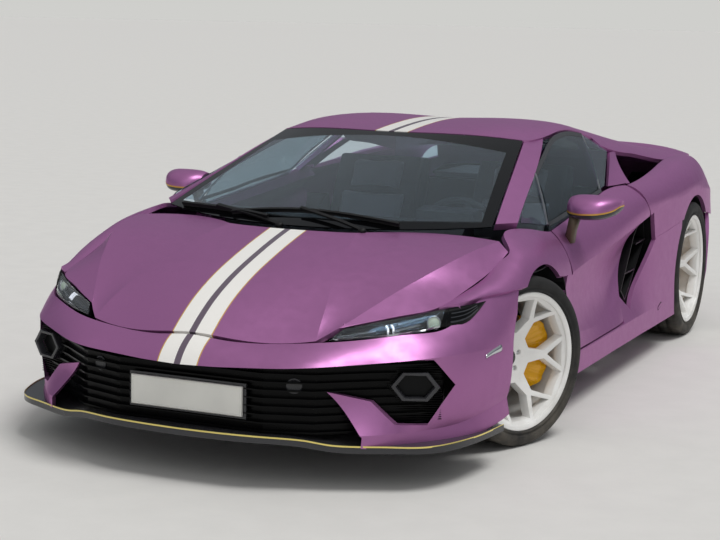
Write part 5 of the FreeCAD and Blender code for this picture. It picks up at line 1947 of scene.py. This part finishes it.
@dataclass
class Studio:
    """Plain pale floor, soft lights, pale surroundings and the photograph's camera.

    Attributes:
        camera_at: Camera position in the car's frame.
        azimuth: Turn of the view from straight ahead of the nose, in degrees.
        elevation: Height angle of the view, in degrees.
        roll: Roll of the camera, in degrees.
        lens: Focal length for a sensor 36 mm wide.
        floor_radius: Radius of the floor disc.
        world_strength: Strength of the surroundings' light.
        backdrop: Colour that the camera sees behind the floor.
        sky: Colours of the surroundings, from the horizon up.
        sky_bands: Heights between which each turns into the next.
    """

    camera_at: Point = (2.9565, -7.4326, 1.6809)
    azimuth: float = 23.8234
    elevation: float = 8.6573
    roll: float = 1.1864
    lens: float = 83.05
    floor_radius: float = 400.0
    world_strength: float = 0.46
    backdrop: str = "#cfcfcc"
    sky: tuple[str, str, str] = ("#8d9299", "#c4cad1", "#ffffff")
    sky_bands: tuple = ((0.0, 0.35), (0.3, 1.0))

    def build_camera(self) -> None:
        """Make the camera that stands where the photographer stood."""
        az, el, ro = (math.radians(a) for a in (self.azimuth, self.elevation, self.roll))
        back = Vector((math.sin(az) * math.cos(el), -math.cos(az) * math.cos(el), math.sin(el)))
        right = Vector((math.cos(az), math.sin(az), 0))
        up = back.cross(right)
        turned_right = right * math.cos(ro) + up * math.sin(ro)
        turned_up = up * math.cos(ro) - right * math.sin(ro)
        columns = Matrix((turned_right, turned_up, back)).transposed()
        data = bpy.data.cameras.new("camera")
        data.lens = self.lens
        data.sensor_width = 36.0
        data.clip_end = 2.0 * self.floor_radius
        camera = bpy.data.objects.new("camera", data)
        camera.matrix_world = Matrix.Translation(self.camera_at) @ columns.to_4x4()
        bpy.context.scene.collection.objects.link(camera)
        bpy.context.scene.camera = camera

    def build_light(self, name: str, toward: Point, strength: float, spread: float) -> None:
        """Make one distant soft light, so that the floor is lit evenly.

        Args:
            name: Object name.
            toward: Direction from the car to the light.
            strength: Its irradiance in watts per square metre.
            spread: Its angle across in degrees.
        """
        data = bpy.data.lights.new(name, "SUN")
        data.energy = strength
        data.angle = math.radians(spread)
        lamp = bpy.data.objects.new(name, data)
        lamp.location = Vector(toward) * 8.0
        lamp.rotation_euler = Vector(toward).to_track_quat("Z", "Y").to_euler()
        bpy.context.scene.collection.objects.link(lamp)

    def build_floor(self) -> None:
        """Make the floor as a disc that reaches the horizon."""
        mesh = bpy.data.meshes.new("floor")
        rings = (0.0001, 6.0, 20.0, 60.0, self.floor_radius)
        points = []
        for radius in rings:
            points += ring_points(Vector(), Vector((0, 0, 1)), radius, 0.0, 96)
        mesh.from_pydata([tuple(p) for p in points], [], grid_faces(len(rings), 96, around=True))
        mesh.materials.append(FLOOR.material())
        floor = bpy.data.objects.new("floor", mesh)
        bpy.context.scene.collection.objects.link(floor)

    def build_world(self) -> None:
        """Make the pale surroundings, brighter overhead."""
        world = bpy.data.worlds.new("studio")
        world.use_nodes = True
        tree = world.node_tree
        ground = tree.nodes["Background"]
        height = add_node(tree, "SeparateXYZ", {0: add_node(tree, "TexCoord", out="Generated")}, 2)
        colour = linear(self.sky[0])
        for code, (low, high) in zip(self.sky[1:], self.sky_bands):
            share = add_node(tree, "MapRange", {"Value": height, "From Min": low,
                                                "From Max": high})
            colour = add_node(tree, "Mix", {0: share, 6: colour, 7: linear(code)}, 2,
                              data_type="RGBA")
        tree.links.new(colour, ground.inputs["Color"])
        ground.inputs["Strength"].default_value = self.world_strength
        seen = add_node(tree, "Background", {0: linear(self.backdrop), 1: 1.0})
        share = add_node(tree, "LightPath", out="Is Camera Ray")
        both = add_node(tree, "MixShader", {0: share, 1: ground.outputs[0], 2: seen})
        tree.links.new(both, tree.nodes["World Output"].inputs["Surface"])
        bpy.context.scene.world = world

    def build(self) -> None:
        """Make the whole studio."""
        bpy.context.scene.view_settings.view_transform = "Standard"
        self.build_camera()
        self.build_floor()
        self.build_world()
        self.build_light("key", (0.36, -0.02, 0.93), 1.75, 24.0)
        self.build_light("fill", (0.25, -0.85, 0.45), 0.55, 70.0)


def main() -> None:
    """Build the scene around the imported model."""
    logging.basicConfig(level=logging.INFO, format="%(name)s: %(message)s")
    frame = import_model()
    nodes = frame["nodes"]
    CarBody().build(nodes)
    Wheels().build()
    Headlamps().build()
    RearLamps().build()
    Mirrors().build()
    Glazing().build(Skin(nodes, ("fixed_glass",)))
    Seats().build()
    Trim().build(Skin(nodes, ("front_bumper", "body_sides", "rear_quarters")))
    Studio().build()


if __name__ == "__main__":
    main()
